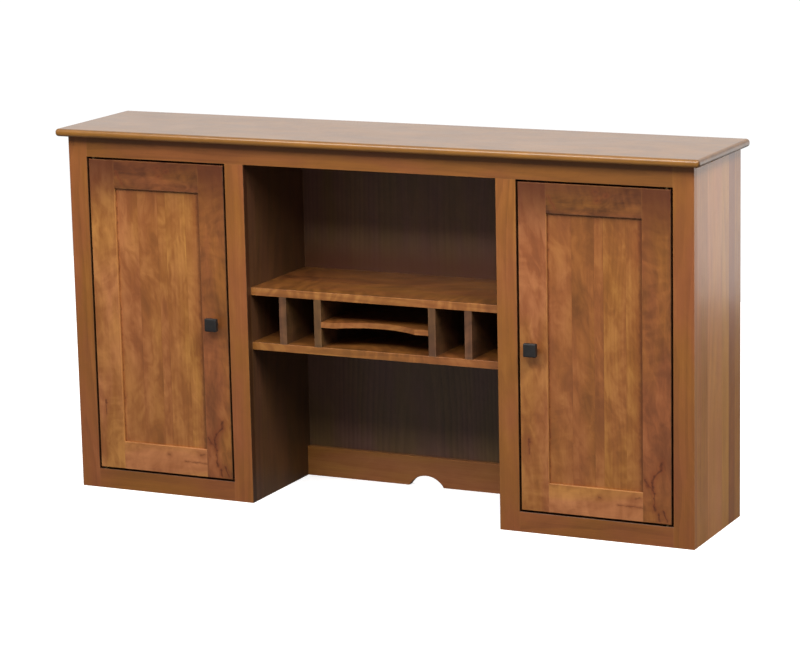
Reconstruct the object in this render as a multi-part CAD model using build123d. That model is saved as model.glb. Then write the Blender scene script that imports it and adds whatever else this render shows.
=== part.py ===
from build123d import *

import math
import os

# A desk hutch: two cupboards, each with one inset door, an open bay between them with a letter organiser, a face
# frame across the front and one slab over the top. Millimetres. X runs to the right as seen from the front, Y to
# the back and Z up. The origin is under the middle of the slab, on the surface that the hutch stands on.

# ---- Driving dimensions ----

SLAB_WIDTH = 1676.0
SLAB_DEPTH = 343.0
SLAB_THICK = 19.0
OVERALL_HEIGHT = 908.0
END_OVERHANG = 22.0
FRONT_OVERHANG = 28.0
SLAB_ROUND = 7.0
SLAB_BACK_EASE = 1.5
SLAB_CORNER_RADIUS = 3.0

BOARD = 19.0
ARRIS = 0.8
BACK_PANEL_THICK = 6.4
BACK_RAIL_THICK = 12.7
BACK_RAIL_HEIGHT = 75.0
NOTCH_WIDTH = 95.0
NOTCH_HEIGHT = 27.0
NOTCH_CUT = 40.0               # how far the cutter reaches, through the panel and the rail
RABBET_WIDTH = 9.5

STILE_WIDTH = 51.0
TOP_RAIL_HEIGHT = 51.0
BOTTOM_RAIL_HEIGHT = 49.0
BAY_WIDTH = 660.0
CLEAT_DEPTH = 60.0

SHELF_SETBACK = 22.0
UPPER_SHELF_TOP = 535.0
LOWER_SHELF_TOP = 400.0
NARROW_SLOT = 75.0
LETTER_SHELF_THICK = 13.0
LETTER_SHELF_TOP = 462.0
LETTER_SHELF_LAND = 36.0
LETTER_SHELF_SCOOP = 32.0

DOOR_GAP = 4.8
DOOR_THICK = 18.0
DOOR_FRAME_WIDTH = 70.0
DOOR_ARRIS = 1.2
PANEL_THICK = 6.0
PANEL_RECESS = 6.0
GROOVE_DEPTH = 10.0
PANEL_PLAY = 1.0

PIN_HOLE_RADIUS = 2.5
PIN_HOLE_DEPTH = 10.0
PIN_HOLE_PITCH = 51.0
PIN_HOLE_COUNT = 11
PIN_OUTSIDE = 8.0
PIN_SPOON_LENGTH = 10.0
PIN_SPOON_WIDTH = 9.0
PIN_SPOON_THICK = 1.8
PIN_END_GAP = 1.0
FIRST_PIN_HOLE = 165.0
PIN_COLUMN_INSET = 45.0
LOWER_SHELF_HOLE = 3
UPPER_SHELF_HOLE = 8
SHELF_END_GAP = 2.5
SHELF_FRONT_GAP = 20.0
SHELF_BACK_GAP = 3.0

PIVOT_IN = 11.0              # from the door's hinge edge to the pivot
PIVOT_BACK = 6.5             # from the door's front face to the pivot
PIVOT_RADIUS = 2.5
PIVOT_CLEARANCE = 0.05
PIVOT_LENGTH = 12.0
PIVOT_BORE_PLAY = 0.3
LEAF_LENGTH = 52.0
LEAF_WIDTH = 9.0
LEAF_THICK = 2.0
MORTISE_PLAY = 0.1
LEAF_BOSS_RADIUS = 4.0
LEAF_BOSS_GAP = 0.3
LEAF_SCREW_SPOTS = (16.0, 34.0)

KNOB_SIZE = 32.0
KNOB_HEAD = 13.0
KNOB_BEVEL = 2.0
KNOB_PROJECTION = 26.0
KNOB_STEM_RADIUS = 7.0
KNOB_FOOT_RADIUS = 9.0
KNOB_FOOT_THICK = 3.0
KNOB_THREAD_DEPTH = 9.0
KNOB_SCREW_RADIUS = 2.0
KNOB_SCREW_HEAD_RADIUS = 4.0
KNOB_SCREW_HEAD_HEIGHT = 2.5
KNOB_SCREW_HEAD_ROUND = 1.0
KNOB_SCREW_SLOT_DEPTH = 1.0
KNOB_SCREW_SLOT_WIDTH = 1.2

CATCH_WIDTH = 46.0
CATCH_DEPTH = 13.0
CATCH_HEIGHT = 18.0
CATCH_EAR_HEIGHT = 29.0
CATCH_EAR_THICK = 1.5
CATCH_DROP = 4.0             # from the top rail's lower edge down to the catch's case
CATCH_FROM_OPENING = 45.0    # from the opening's free side to the middle of the catch
CATCH_SCREW_SPREAD = 14.0
CATCH_SCREW_HEIGHT = 16.4    # from the top of the case up to the screws
CATCH_CORNER = 2.0
CATCH_EAR_LAP = 1.0
STRIKE_LENGTH = 34.0
STRIKE_HEIGHT = 14.0
STRIKE_THICK = 1.2
STRIKE_PROUD = 0.2
STRIKE_SPIKE_RADIUS = 1.5
STRIKE_SPIKE_LENGTH = 7.0

HOLE_PLAY = 0.05             # between a screw or pin and its hole, on the radius
OVERCUT = 1.0                # how far a cutter runs past what it cuts
KNOB_HOLE_PLAY = 0.3
HOLE_SPARE = 0.5             # left past a screw's tip

# Countersunk screws: (length, shank radius, head radius, head height)
SLAB_SCREW = (32.0, 2.0, 4.0, 2.2)
LEAF_SCREW = (14.0, 1.5, 3.0, 1.6)
DRIVE_SHARE = 0.7            # a square drive's side, as a share of the head's radius
DRIVE_DEPTH_SHARE = 0.6
SLAB_SCREW_BAY_SPREAD = 220.0
SLAB_SCREW_CUPBOARD_INSET = 91.0

# ---- Worked out from those ----

BODY_HEIGHT = OVERALL_HEIGHT - SLAB_THICK
X_OUTER = SLAB_WIDTH / 2 - END_OVERHANG
X_BAY = BAY_WIDTH / 2
X_OPENING_IN = X_BAY + STILE_WIDTH
X_OPENING_OUT = X_OUTER - STILE_WIDTH
X_SIDE_INNER = X_OUTER - BOARD
X_PARTITION_OUTER = X_BAY + BOARD

Y_BACK = SLAB_DEPTH / 2
Y_FRONT = FRONT_OVERHANG - SLAB_DEPTH / 2
Y_FRAME_BACK = Y_FRONT + BOARD
Y_PANEL_FACE = Y_BACK - BACK_PANEL_THICK
Y_SHELF_FRONT = Y_FRONT + SHELF_SETBACK
Y_DOOR_BACK = Y_FRONT + DOOR_THICK
Y_PIVOT = Y_FRONT + PIVOT_BACK

Z_TOP_RAIL = BODY_HEIGHT - TOP_RAIL_HEIGHT
Z_CLEAT = BODY_HEIGHT - BOARD
Z_DOOR_BOTTOM = BOTTOM_RAIL_HEIGHT + DOOR_GAP
Z_DOOR_TOP = Z_TOP_RAIL - DOOR_GAP
Z_KNOB = (Z_DOOR_BOTTOM + Z_DOOR_TOP) / 2

X_DOOR_FREE = X_OPENING_IN + DOOR_GAP
X_DOOR_HINGE = X_OPENING_OUT - DOOR_GAP
X_PIVOT = X_DOOR_HINGE - PIVOT_IN
X_KNOB = X_DOOR_FREE + DOOR_FRAME_WIDTH / 2
X_CATCH = X_OPENING_IN + CATCH_FROM_OPENING

CENTRE_SLOT = BAY_WIDTH - 4 * NARROW_SLOT - 4 * BOARD
PIN_COLUMNS = (Y_FRAME_BACK + PIN_COLUMN_INSET, Y_PANEL_FACE - PIN_COLUMN_INSET)

SIDES = {"left": -1, "right": 1}
LEVELS = {"top": 1, "bottom": -1}


# ---- Helpers ----

def across(side, inner, outer):
    """The X range between two distances from the middle, on one side of the hutch."""
    return tuple(sorted((side * inner, side * outer)))


def block(x_range, y_range, z_range):
    """A square-cut block that fills three (low, high) ranges."""
    ranges = (x_range, y_range, z_range)
    size = [high - low for low, high in ranges]
    middle = [(high + low) / 2 for low, high in ranges]
    return Pos(*middle) * Box(*size)


def eased(board, leg, *edges):
    """The board with its corners planed off at 45 degrees along straight edges, each a (start, end) pair."""
    for start, end in edges:
        run = Vector(*end) - Vector(*start)
        bar = Rot(0, 0, 45) * Box(leg * math.sqrt(2), leg * math.sqrt(2), run.length)
        board -= Plane(origin=(Vector(*start) + Vector(*end)) / 2, z_dir=run) * bar
    return board


def rod(point, direction, radius, length):
    """A round rod from a point, along a direction."""
    return Plane(origin=point, z_dir=direction) * Cylinder(
        radius, length, align=(Align.CENTER, Align.CENTER, Align.MIN)
    )


def countersunk(point, direction, kind, play=0.0, spare=0.0):
    """A countersunk screw with its head flush at a point; play and spare make the hole for it."""
    length, shank, head, head_height = kind
    ground = (Align.CENTER, Align.CENTER, Align.MIN)
    body = Cylinder(shank + play, length + spare, align=ground)
    body += Cone(head + play, shank + play, head_height, align=ground)
    if not play:
        drive = head * DRIVE_SHARE
        body -= Box(drive, drive, head_height * DRIVE_DEPTH_SHARE, align=ground)
    return Plane(origin=point, z_dir=direction) * body


def screw_hole(point, direction, kind):
    """The countersunk pilot hole for a screw."""
    return countersunk(point, direction, kind, HOLE_PLAY, HOLE_SPARE)


# ---- Top slab and what holds it ----

def top_slab():
    """The one-piece top: rounded on the front and both ends, nearly square at the back."""
    slab = block(
        (-SLAB_WIDTH / 2, SLAB_WIDTH / 2), (-SLAB_DEPTH / 2, SLAB_DEPTH / 2), (BODY_HEIGHT, OVERALL_HEIGHT)
    )
    slab = fillet(slab.edges().filter_by(Axis.Z).group_by(Axis.Y)[0], SLAB_CORNER_RADIUS)
    rims = slab.faces().sort_by(Axis.Z)[-1].edges() + slab.faces().sort_by(Axis.Z)[0].edges()
    slab = fillet([rim for rim in rims if abs(rim.center().Y - Y_BACK) > 1e-6], SLAB_ROUND)
    back = slab.edges().filter_by(Axis.X).sort_by(Axis.Y)[-2:]
    return fillet(back, SLAB_BACK_EASE)


def slab_screw_spots():
    """Where each screw starts, on the underside of a cleat: (x, y, z)."""
    front = Y_FRAME_BACK + CLEAT_DEPTH / 2
    rear = Y_PANEL_FACE - CLEAT_DEPTH / 2
    spots = [(n * SLAB_SCREW_BAY_SPREAD, y, Z_CLEAT) for n in (-1, 0, 1) for y in (front, rear)]
    near = X_PARTITION_OUTER + SLAB_SCREW_CUPBOARD_INSET
    far = X_SIDE_INNER - SLAB_SCREW_CUPBOARD_INSET
    return spots + [(side * x, front, Z_CLEAT) for side in SIDES.values() for x in (near, far)]


def drilled_for_slab_screws(board):
    """The board with a hole for each slab screw that meets it."""
    for spot in slab_screw_spots():
        board -= screw_hole(spot, (0, 0, 1), SLAB_SCREW)
    return board


def cleat(x_range, y_range):
    """A flat strip under the slab, screwed up into it."""
    return drilled_for_slab_screws(block(x_range, y_range, (Z_CLEAT, BODY_HEIGHT)))


# ---- Case ----

def side_panel(side):
    """An end of the hutch, rabbeted for the back panel and drilled for shelf pins."""
    panel = block(across(side, X_SIDE_INNER, X_OUTER), (Y_FRAME_BACK, Y_BACK), (0, BODY_HEIGHT))
    panel -= block(
        across(side, X_SIDE_INNER, X_SIDE_INNER + RABBET_WIDTH), (Y_PANEL_FACE, Y_BACK), (0, BODY_HEIGHT)
    )
    panel = panel - pin_holes(side * X_SIDE_INNER, side)
    return eased(panel, ARRIS, ((side * X_OUTER, Y_BACK, 0), (side * X_OUTER, Y_BACK, BODY_HEIGHT)))


def partition(side):
    """The board between a cupboard and the bay, drilled for shelf pins on the cupboard's side."""
    panel = block(across(side, X_BAY, X_PARTITION_OUTER), (Y_FRAME_BACK, Y_PANEL_FACE), (0, BODY_HEIGHT))
    return panel - pin_holes(side * X_PARTITION_OUTER, -side)


def cabinet_floor(side):
    """The bottom board of a cupboard, level with the top of its bottom rail."""
    return block(
        across(side, X_PARTITION_OUTER, X_SIDE_INNER),
        (Y_FRAME_BACK, Y_PANEL_FACE),
        (BOTTOM_RAIL_HEIGHT - BOARD, BOTTOM_RAIL_HEIGHT),
    )


def cord_notch():
    """The cutter for the arched cord notch at the bottom of the back."""
    radius = ((NOTCH_WIDTH / 2) ** 2 + NOTCH_HEIGHT ** 2) / (2 * NOTCH_HEIGHT)
    return rod((0, Y_BACK + OVERCUT, NOTCH_HEIGHT - radius), (0, -1, 0), radius, NOTCH_CUT)


def back_panel():
    """The thin sheet that closes the whole back."""
    half = X_SIDE_INNER + RABBET_WIDTH
    return block((-half, half), (Y_PANEL_FACE, Y_BACK), (0, BODY_HEIGHT)) - cord_notch()


def back_rail():
    """The rail along the bottom of the bay, in front of the back panel."""
    front = Y_PANEL_FACE - BACK_RAIL_THICK
    rail = block((-X_BAY, X_BAY), (front, Y_PANEL_FACE), (0, BACK_RAIL_HEIGHT)) - cord_notch()
    return eased(rail, ARRIS, ((-X_BAY, front, BACK_RAIL_HEIGHT), (X_BAY, front, BACK_RAIL_HEIGHT)))


# ---- Face frame ----

def outer_stile(side):
    """The full-height upright at an end of the face frame."""
    stile = block(across(side, X_OPENING_OUT, X_OUTER), (Y_FRONT, Y_FRAME_BACK), (0, BODY_HEIGHT))
    inner = side * X_OPENING_OUT
    return eased(
        stile, ARRIS,
        ((side * X_OUTER, Y_FRONT, 0), (side * X_OUTER, Y_FRONT, BODY_HEIGHT)),
        ((inner, Y_FRONT, BOTTOM_RAIL_HEIGHT), (inner, Y_FRONT, Z_TOP_RAIL)),
    )


def inner_stile(side):
    """The upright between a door and the bay, under the top rail."""
    stile = block(across(side, X_BAY, X_OPENING_IN), (Y_FRONT, Y_FRAME_BACK), (0, Z_TOP_RAIL))
    bay_edge = side * X_BAY
    door_edge = side * X_OPENING_IN
    return eased(
        stile, ARRIS,
        ((bay_edge, Y_FRONT, 0), (bay_edge, Y_FRONT, Z_TOP_RAIL)),
        ((door_edge, Y_FRONT, BOTTOM_RAIL_HEIGHT), (door_edge, Y_FRONT, Z_TOP_RAIL)),
    )


def face_top_rail():
    """The rail over both doors and the bay, let in for the upper frame leaves of the hinges."""
    rail = block((-X_OPENING_OUT, X_OPENING_OUT), (Y_FRONT, Y_FRAME_BACK), (Z_TOP_RAIL, BODY_HEIGHT))
    edges = [((-X_BAY, Y_FRONT, Z_TOP_RAIL), (X_BAY, Y_FRONT, Z_TOP_RAIL))]
    for side in SIDES.values():
        low, high = across(side, X_OPENING_IN, X_OPENING_OUT)
        edges.append(((low, Y_FRONT, Z_TOP_RAIL), (high, Y_FRONT, Z_TOP_RAIL)))
        rail -= frame_leaf_mortise(side, LEVELS["top"])
        for point in catch_screw_spots(side):
            rail -= screw_hole(point, (0, -1, 0), LEAF_SCREW)
    return eased(rail, ARRIS, *edges)


def bottom_rail(side):
    """The rail under a door, let in for the lower frame leaf of its hinge."""
    low, high = across(side, X_OPENING_IN, X_OPENING_OUT)
    rail = block((low, high), (Y_FRONT, Y_FRAME_BACK), (0, BOTTOM_RAIL_HEIGHT))
    rail -= frame_leaf_mortise(side, LEVELS["bottom"])
    return eased(rail, ARRIS, ((low, Y_FRONT, BOTTOM_RAIL_HEIGHT), (high, Y_FRONT, BOTTOM_RAIL_HEIGHT)))


# ---- Letter organiser ----

def organizer_shelf(top):
    """A full-width shelf of the organiser, with its top at a height."""
    shelf = block((-X_BAY, X_BAY), (Y_SHELF_FRONT, Y_PANEL_FACE), (top - BOARD, top))
    return eased(
        shelf, ARRIS,
        ((-X_BAY, Y_SHELF_FRONT, top), (X_BAY, Y_SHELF_FRONT, top)),
        ((-X_BAY, Y_SHELF_FRONT, top - BOARD), (X_BAY, Y_SHELF_FRONT, top - BOARD)),
    )


def divider_ranges():
    """The X range of each divider, from left to right."""
    near = CENTRE_SLOT / 2
    far = near + BOARD + NARROW_SLOT
    return [across(side, edge, edge + BOARD) for side, edge in ((-1, far), (-1, near), (1, near), (1, far))]


def divider(x_range):
    """An upright between the organiser's two shelves."""
    low, high = x_range
    top = UPPER_SHELF_TOP - BOARD
    board = block(x_range, (Y_SHELF_FRONT, Y_PANEL_FACE), (LOWER_SHELF_TOP, top))
    return eased(
        board, ARRIS,
        ((low, Y_SHELF_FRONT, LOWER_SHELF_TOP), (low, Y_SHELF_FRONT, top)),
        ((high, Y_SHELF_FRONT, LOWER_SHELF_TOP), (high, Y_SHELF_FRONT, top)),
    )


def letter_shelf():
    """The thin shelf of the middle slot, scooped along its front so that letters can be picked up."""
    half = CENTRE_SLOT / 2
    half_scoop = half - LETTER_SHELF_LAND
    radius = (half_scoop ** 2 + LETTER_SHELF_SCOOP ** 2) / (2 * LETTER_SHELF_SCOOP)
    bottom = LETTER_SHELF_TOP - LETTER_SHELF_THICK
    shelf = block((-half, half), (Y_SHELF_FRONT, Y_PANEL_FACE), (bottom, LETTER_SHELF_TOP))
    centre = (0, Y_SHELF_FRONT + LETTER_SHELF_SCOOP - radius, bottom - OVERCUT)
    return shelf - rod(centre, (0, 0, 1), radius, LETTER_SHELF_THICK + 2 * OVERCUT)


# ---- Cupboard shelves and their pins ----

def pin_holes(x_face, into):
    """The cutter for two columns of shelf-pin holes in a face, going into it along X."""
    levels = [FIRST_PIN_HOLE + n * PIN_HOLE_PITCH for n in range(PIN_HOLE_COUNT)]
    return [
        rod((x_face, y, z), (into, 0, 0), PIN_HOLE_RADIUS, PIN_HOLE_DEPTH) for y in PIN_COLUMNS for z in levels
    ]


def shelf_pin(x_face, into, y, z):
    """A metal pin in a hole, with a flat spoon that the shelf lies on."""
    radius = PIN_HOLE_RADIUS - HOLE_PLAY
    inside = PIN_HOLE_DEPTH - PIN_END_GAP
    pin = rod((x_face + into * inside, y, z), (-into, 0, 0), radius, inside + PIN_OUTSIDE)
    spoon = block(
        tuple(sorted((x_face, x_face - into * PIN_SPOON_LENGTH))),
        (y - PIN_SPOON_WIDTH / 2, y + PIN_SPOON_WIDTH / 2),
        (z + radius - PIN_SPOON_THICK, z + radius),
    )
    return pin + spoon


def shelf_level(hole):
    """The underside of a cupboard shelf that rests on the pins in one hole of each column."""
    return FIRST_PIN_HOLE + hole * PIN_HOLE_PITCH + PIN_HOLE_RADIUS - HOLE_PLAY


def shelf_pins():
    """Four pins for each cupboard shelf."""
    pins = []
    for side in SIDES.values():
        for hole in (LOWER_SHELF_HOLE, UPPER_SHELF_HOLE):
            z = FIRST_PIN_HOLE + hole * PIN_HOLE_PITCH
            for y in PIN_COLUMNS:
                pins.append(shelf_pin(side * X_SIDE_INNER, side, y, z))
                pins.append(shelf_pin(side * X_PARTITION_OUTER, -side, y, z))
    return pins


def cabinet_shelf(side, hole):
    """An adjustable shelf that lies on its four pins."""
    bottom = shelf_level(hole)
    front = Y_FRAME_BACK + SHELF_FRONT_GAP
    low, high = across(side, X_PARTITION_OUTER + SHELF_END_GAP, X_SIDE_INNER - SHELF_END_GAP)
    shelf = block((low, high), (front, Y_PANEL_FACE - SHELF_BACK_GAP), (bottom, bottom + BOARD))
    return eased(
        shelf, ARRIS,
        ((low, front, bottom), (high, front, bottom)),
        ((low, front, bottom + BOARD), (high, front, bottom + BOARD)),
    )


# ---- Pivot hinges ----

def leaf_outline(side, z_face, away, play=0.0):
    """A round-ended plate let in behind a face: it starts at the pivot and runs towards the door's free side."""
    length = LEAF_LENGTH + 2 * play
    plate = extrude(SlotOverall(length, LEAF_WIDTH + 2 * play), LEAF_THICK)
    x_middle = side * (X_PIVOT + LEAF_WIDTH / 2 - LEAF_LENGTH / 2)
    z_low = min(z_face, z_face + away * LEAF_THICK)
    return Pos(x_middle, Y_PIVOT, z_low) * plate


def leaf_screw_spots(side, z_face):
    """Where the screws of a leaf start."""
    return [(side * (X_PIVOT - spot), Y_PIVOT, z_face) for spot in LEAF_SCREW_SPOTS]


def frame_face(level):
    """The height of the rail's face that the door's end turns against."""
    return Z_TOP_RAIL if level > 0 else BOTTOM_RAIL_HEIGHT


def door_face(level):
    """The height of the door's own end."""
    return Z_DOOR_TOP if level > 0 else Z_DOOR_BOTTOM


def frame_leaf_mortise(side, level):
    """The cutter that lets a frame leaf and its screws into a rail."""
    face = frame_face(level)
    cutters = [leaf_outline(side, face, level, MORTISE_PLAY)]
    return cutters + [screw_hole(p, (0, 0, level), LEAF_SCREW) for p in leaf_screw_spots(side, face)]


def frame_leaf(side, level):
    """The leaf in the rail, with the pivot pin fixed in it."""
    face = frame_face(level)
    leaf = leaf_outline(side, face, level)
    for point in leaf_screw_spots(side, face):
        leaf -= screw_hole(point, (0, 0, level), LEAF_SCREW)
    root = (side * X_PIVOT, Y_PIVOT, face + level * LEAF_THICK)
    return leaf + rod(root, (0, 0, -level), PIVOT_RADIUS, LEAF_THICK + PIVOT_LENGTH)


def door_leaf(side, level):
    """The leaf in the door's end: its boss keeps the door off the rail, and the pin turns in it."""
    face = door_face(level)
    leaf = leaf_outline(side, face, -level)
    centre = (side * X_PIVOT, Y_PIVOT, face)
    leaf += rod(centre, (0, 0, level), LEAF_BOSS_RADIUS, DOOR_GAP - LEAF_BOSS_GAP)
    for point in leaf_screw_spots(side, face):
        leaf -= screw_hole(point, (0, 0, -level), LEAF_SCREW)
    start = (side * X_PIVOT, Y_PIVOT, face + level * DOOR_GAP)
    depth = DOOR_GAP + LEAF_THICK + OVERCUT
    return leaf - rod(start, (0, 0, -level), PIVOT_RADIUS + PIVOT_CLEARANCE, depth)


def door_leaf_mortise(side, level):
    """The cutter that lets a door leaf, its screws and the pin's end into the hinge stile."""
    face = door_face(level)
    cutters = [leaf_outline(side, face, -level, MORTISE_PLAY)]
    cutters += [screw_hole(p, (0, 0, -level), LEAF_SCREW) for p in leaf_screw_spots(side, face)]
    depth = PIVOT_LENGTH - DOOR_GAP + OVERCUT
    bore = rod((side * X_PIVOT, Y_PIVOT, face), (0, 0, -level), PIVOT_RADIUS + PIVOT_BORE_PLAY, depth)
    return cutters + [bore]


def frame_leaf_screws():
    """The screws of all four frame leaves."""
    return [
        countersunk(point, (0, 0, level), LEAF_SCREW)
        for side in SIDES.values()
        for level in LEVELS.values()
        for point in leaf_screw_spots(side, frame_face(level))
    ]


def door_leaf_screws(side):
    """The screws of one door's two leaves."""
    return [
        countersunk(point, (0, 0, -level), LEAF_SCREW)
        for level in LEVELS.values()
        for point in leaf_screw_spots(side, door_face(level))
    ]


# ---- Doors ----

def door_stile(side, x_inner, x_outer, groove_at):
    """A full-height upright of a door, grooved along the edge that faces the panel."""
    low, high = across(side, x_inner, x_outer)
    stile = block((low, high), (Y_FRONT, Y_DOOR_BACK), (Z_DOOR_BOTTOM, Z_DOOR_TOP))
    groove_end = groove_at + math.copysign(GROOVE_DEPTH, (x_inner + x_outer) / 2 - groove_at)
    groove = (Y_FRONT + PANEL_RECESS, Y_FRONT + PANEL_RECESS + PANEL_THICK)
    stile -= block(tuple(sorted((side * groove_at, side * groove_end))), groove, (Z_DOOR_BOTTOM, Z_DOOR_TOP))
    outer = side * (x_inner + x_outer - groove_at)
    panel_edge = side * groove_at
    stile = eased(
        stile, DOOR_ARRIS,
        ((outer, Y_FRONT, Z_DOOR_BOTTOM), (outer, Y_FRONT, Z_DOOR_TOP)),
        ((low, Y_FRONT, Z_DOOR_TOP), (high, Y_FRONT, Z_DOOR_TOP)),
        ((low, Y_FRONT, Z_DOOR_BOTTOM), (high, Y_FRONT, Z_DOOR_BOTTOM)),
    )
    return eased(
        stile, ARRIS,
        (
            (panel_edge, Y_FRONT, Z_DOOR_BOTTOM + DOOR_FRAME_WIDTH),
            (panel_edge, Y_FRONT, Z_DOOR_TOP - DOOR_FRAME_WIDTH),
        ),
    )


def hinge_stile(side):
    """The stile that carries the pivot leaves."""
    stile = door_stile(side, X_DOOR_HINGE - DOOR_FRAME_WIDTH, X_DOOR_HINGE, X_DOOR_HINGE - DOOR_FRAME_WIDTH)
    for level in LEVELS.values():
        stile -= door_leaf_mortise(side, level)
    return stile


def free_stile(side):
    """The stile that carries the knob and the strike plate."""
    stile = door_stile(side, X_DOOR_FREE, X_DOOR_FREE + DOOR_FRAME_WIDTH, X_DOOR_FREE + DOOR_FRAME_WIDTH)
    knob_hole = rod(
        (side * X_KNOB, Y_FRONT - OVERCUT, Z_KNOB), (0, 1, 0),
        KNOB_SCREW_RADIUS + KNOB_HOLE_PLAY, DOOR_THICK + 2 * OVERCUT,
    )
    return stile - knob_hole - strike_recess(side)


def door_rail(side, level):
    """The top or bottom rail of a door, with a stub tenon at each end that fills the stiles' grooves."""
    x_low = X_DOOR_FREE + DOOR_FRAME_WIDTH
    x_high = X_DOOR_HINGE - DOOR_FRAME_WIDTH
    z_outer = door_face(level)
    z_inner = z_outer - level * DOOR_FRAME_WIDTH
    z_range = tuple(sorted((z_outer, z_inner)))
    tongue = (Y_FRONT + PANEL_RECESS, Y_FRONT + PANEL_RECESS + PANEL_THICK)
    rail = block(across(side, x_low, x_high), (Y_FRONT, Y_DOOR_BACK), z_range)
    rail += block(across(side, x_low - GROOVE_DEPTH, x_high + GROOVE_DEPTH), tongue, z_range)
    groove = tuple(sorted((z_inner, z_inner + level * GROOVE_DEPTH)))
    rail -= block(across(side, x_low - GROOVE_DEPTH, x_high + GROOVE_DEPTH), tongue, groove)
    start, end = across(side, x_low, x_high)
    rail = eased(rail, DOOR_ARRIS, ((start, Y_FRONT, z_outer), (end, Y_FRONT, z_outer)))
    return eased(rail, ARRIS, ((start, Y_FRONT, z_inner), (end, Y_FRONT, z_inner)))


def door_panel(side):
    """The flat panel, held loose in the grooves so that it can swell."""
    into = GROOVE_DEPTH - PANEL_PLAY
    x_range = across(side, X_DOOR_FREE + DOOR_FRAME_WIDTH - into, X_DOOR_HINGE - DOOR_FRAME_WIDTH + into)
    z_range = (Z_DOOR_BOTTOM + DOOR_FRAME_WIDTH - into, Z_DOOR_TOP - DOOR_FRAME_WIDTH + into)
    front = Y_FRONT + PANEL_RECESS
    return block(x_range, (front, front + PANEL_THICK), z_range)


# ---- Knobs ----

def knob(side):
    """A square knob with bevelled front edges, on a round stem with a threaded bore."""
    front = Y_FRONT - KNOB_PROJECTION
    x, half = side * X_KNOB, KNOB_SIZE / 2
    head = block((x - half, x + half), (front, front + KNOB_HEAD), (Z_KNOB - half, Z_KNOB + half))
    head = chamfer(head.faces().sort_by(Axis.Y)[0].edges(), KNOB_BEVEL)
    head = fillet(head.faces().sort_by(Axis.Y)[-1].edges(), ARRIS)
    stem = rod((x, front + KNOB_HEAD, Z_KNOB), (0, 1, 0), KNOB_STEM_RADIUS, KNOB_PROJECTION - KNOB_HEAD)
    foot = rod((x, Y_FRONT - KNOB_FOOT_THICK, Z_KNOB), (0, 1, 0), KNOB_FOOT_RADIUS, KNOB_FOOT_THICK)
    bore = rod((x, Y_FRONT, Z_KNOB), (0, -1, 0), KNOB_SCREW_RADIUS + HOLE_PLAY, KNOB_THREAD_DEPTH + HOLE_SPARE)
    return head + stem + foot - bore


def knob_screw(side):
    """The machine screw that comes through the stile from behind and holds the knob."""
    x = side * X_KNOB
    seat = (x, Y_DOOR_BACK, Z_KNOB)
    shank = rod(seat, (0, -1, 0), KNOB_SCREW_RADIUS, DOOR_THICK + KNOB_THREAD_DEPTH)
    head = rod(seat, (0, 1, 0), KNOB_SCREW_HEAD_RADIUS, KNOB_SCREW_HEAD_HEIGHT)
    head = fillet(head.edges().sort_by(Axis.Y)[-1], KNOB_SCREW_HEAD_ROUND)
    slot_floor = Y_DOOR_BACK + KNOB_SCREW_HEAD_HEIGHT - KNOB_SCREW_SLOT_DEPTH
    slot = block(
        (x - KNOB_SCREW_HEAD_RADIUS, x + KNOB_SCREW_HEAD_RADIUS),
        (slot_floor, Y_DOOR_BACK + KNOB_SCREW_HEAD_HEIGHT + OVERCUT),
        (Z_KNOB - KNOB_SCREW_SLOT_WIDTH / 2, Z_KNOB + KNOB_SCREW_SLOT_WIDTH / 2),
    )
    return shank + head - slot


# ---- Magnetic catches ----

def catch_top():
    """The height of the top of a catch's case."""
    return Z_TOP_RAIL - CATCH_DROP


def catch_screw_spots(side):
    """Where a catch's two screws start, on the back of its ear."""
    z = catch_top() + CATCH_SCREW_HEIGHT
    return [
        (side * X_CATCH + n * CATCH_SCREW_SPREAD, Y_FRAME_BACK + CATCH_EAR_THICK, z) for n in (-1, 1)
    ]


def catch(side):
    """The catch: a case with the magnet, behind the door's top corner, on an ear screwed to the top rail."""
    x, top = side * X_CATCH, catch_top()
    width = (x - CATCH_WIDTH / 2, x + CATCH_WIDTH / 2)
    case = block(width, (Y_FRAME_BACK, Y_FRAME_BACK + CATCH_DEPTH), (top - CATCH_HEIGHT, top))
    case = fillet(case.edges().filter_by(Axis.Z).group_by(Axis.Y)[-1], CATCH_CORNER)
    ear = block(width, (Y_FRAME_BACK, Y_FRAME_BACK + CATCH_EAR_THICK), (top - CATCH_EAR_LAP, top + CATCH_EAR_HEIGHT))
    body = case + ear
    for point in catch_screw_spots(side):
        body -= screw_hole(point, (0, -1, 0), LEAF_SCREW)
    return body


def catch_screws():
    """The screws of both catches."""
    return [
        countersunk(point, (0, -1, 0), LEAF_SCREW) for side in SIDES.values() for point in catch_screw_spots(side)
    ]


def strike_ranges(side, play=0.0):
    """The X and Z ranges of a strike plate on the back of the free stile."""
    x = side * X_CATCH
    half_length = STRIKE_LENGTH / 2 + play
    half_height = STRIKE_HEIGHT / 2 + play
    z = catch_top() - CATCH_HEIGHT / 2
    return (x - half_length, x + half_length), (z - half_height, z + half_height)


def strike_plate(side):
    """The steel plate that the magnet holds, with a spike that is pressed into the stile."""
    x_range, z_range = strike_ranges(side)
    back = Y_DOOR_BACK + STRIKE_PROUD
    plate = block(x_range, (back - STRIKE_THICK, back), z_range)
    centre = (sum(x_range) / 2, back - STRIKE_THICK, sum(z_range) / 2)
    return plate + rod(centre, (0, -1, 0), STRIKE_SPIKE_RADIUS, STRIKE_SPIKE_LENGTH)


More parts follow.
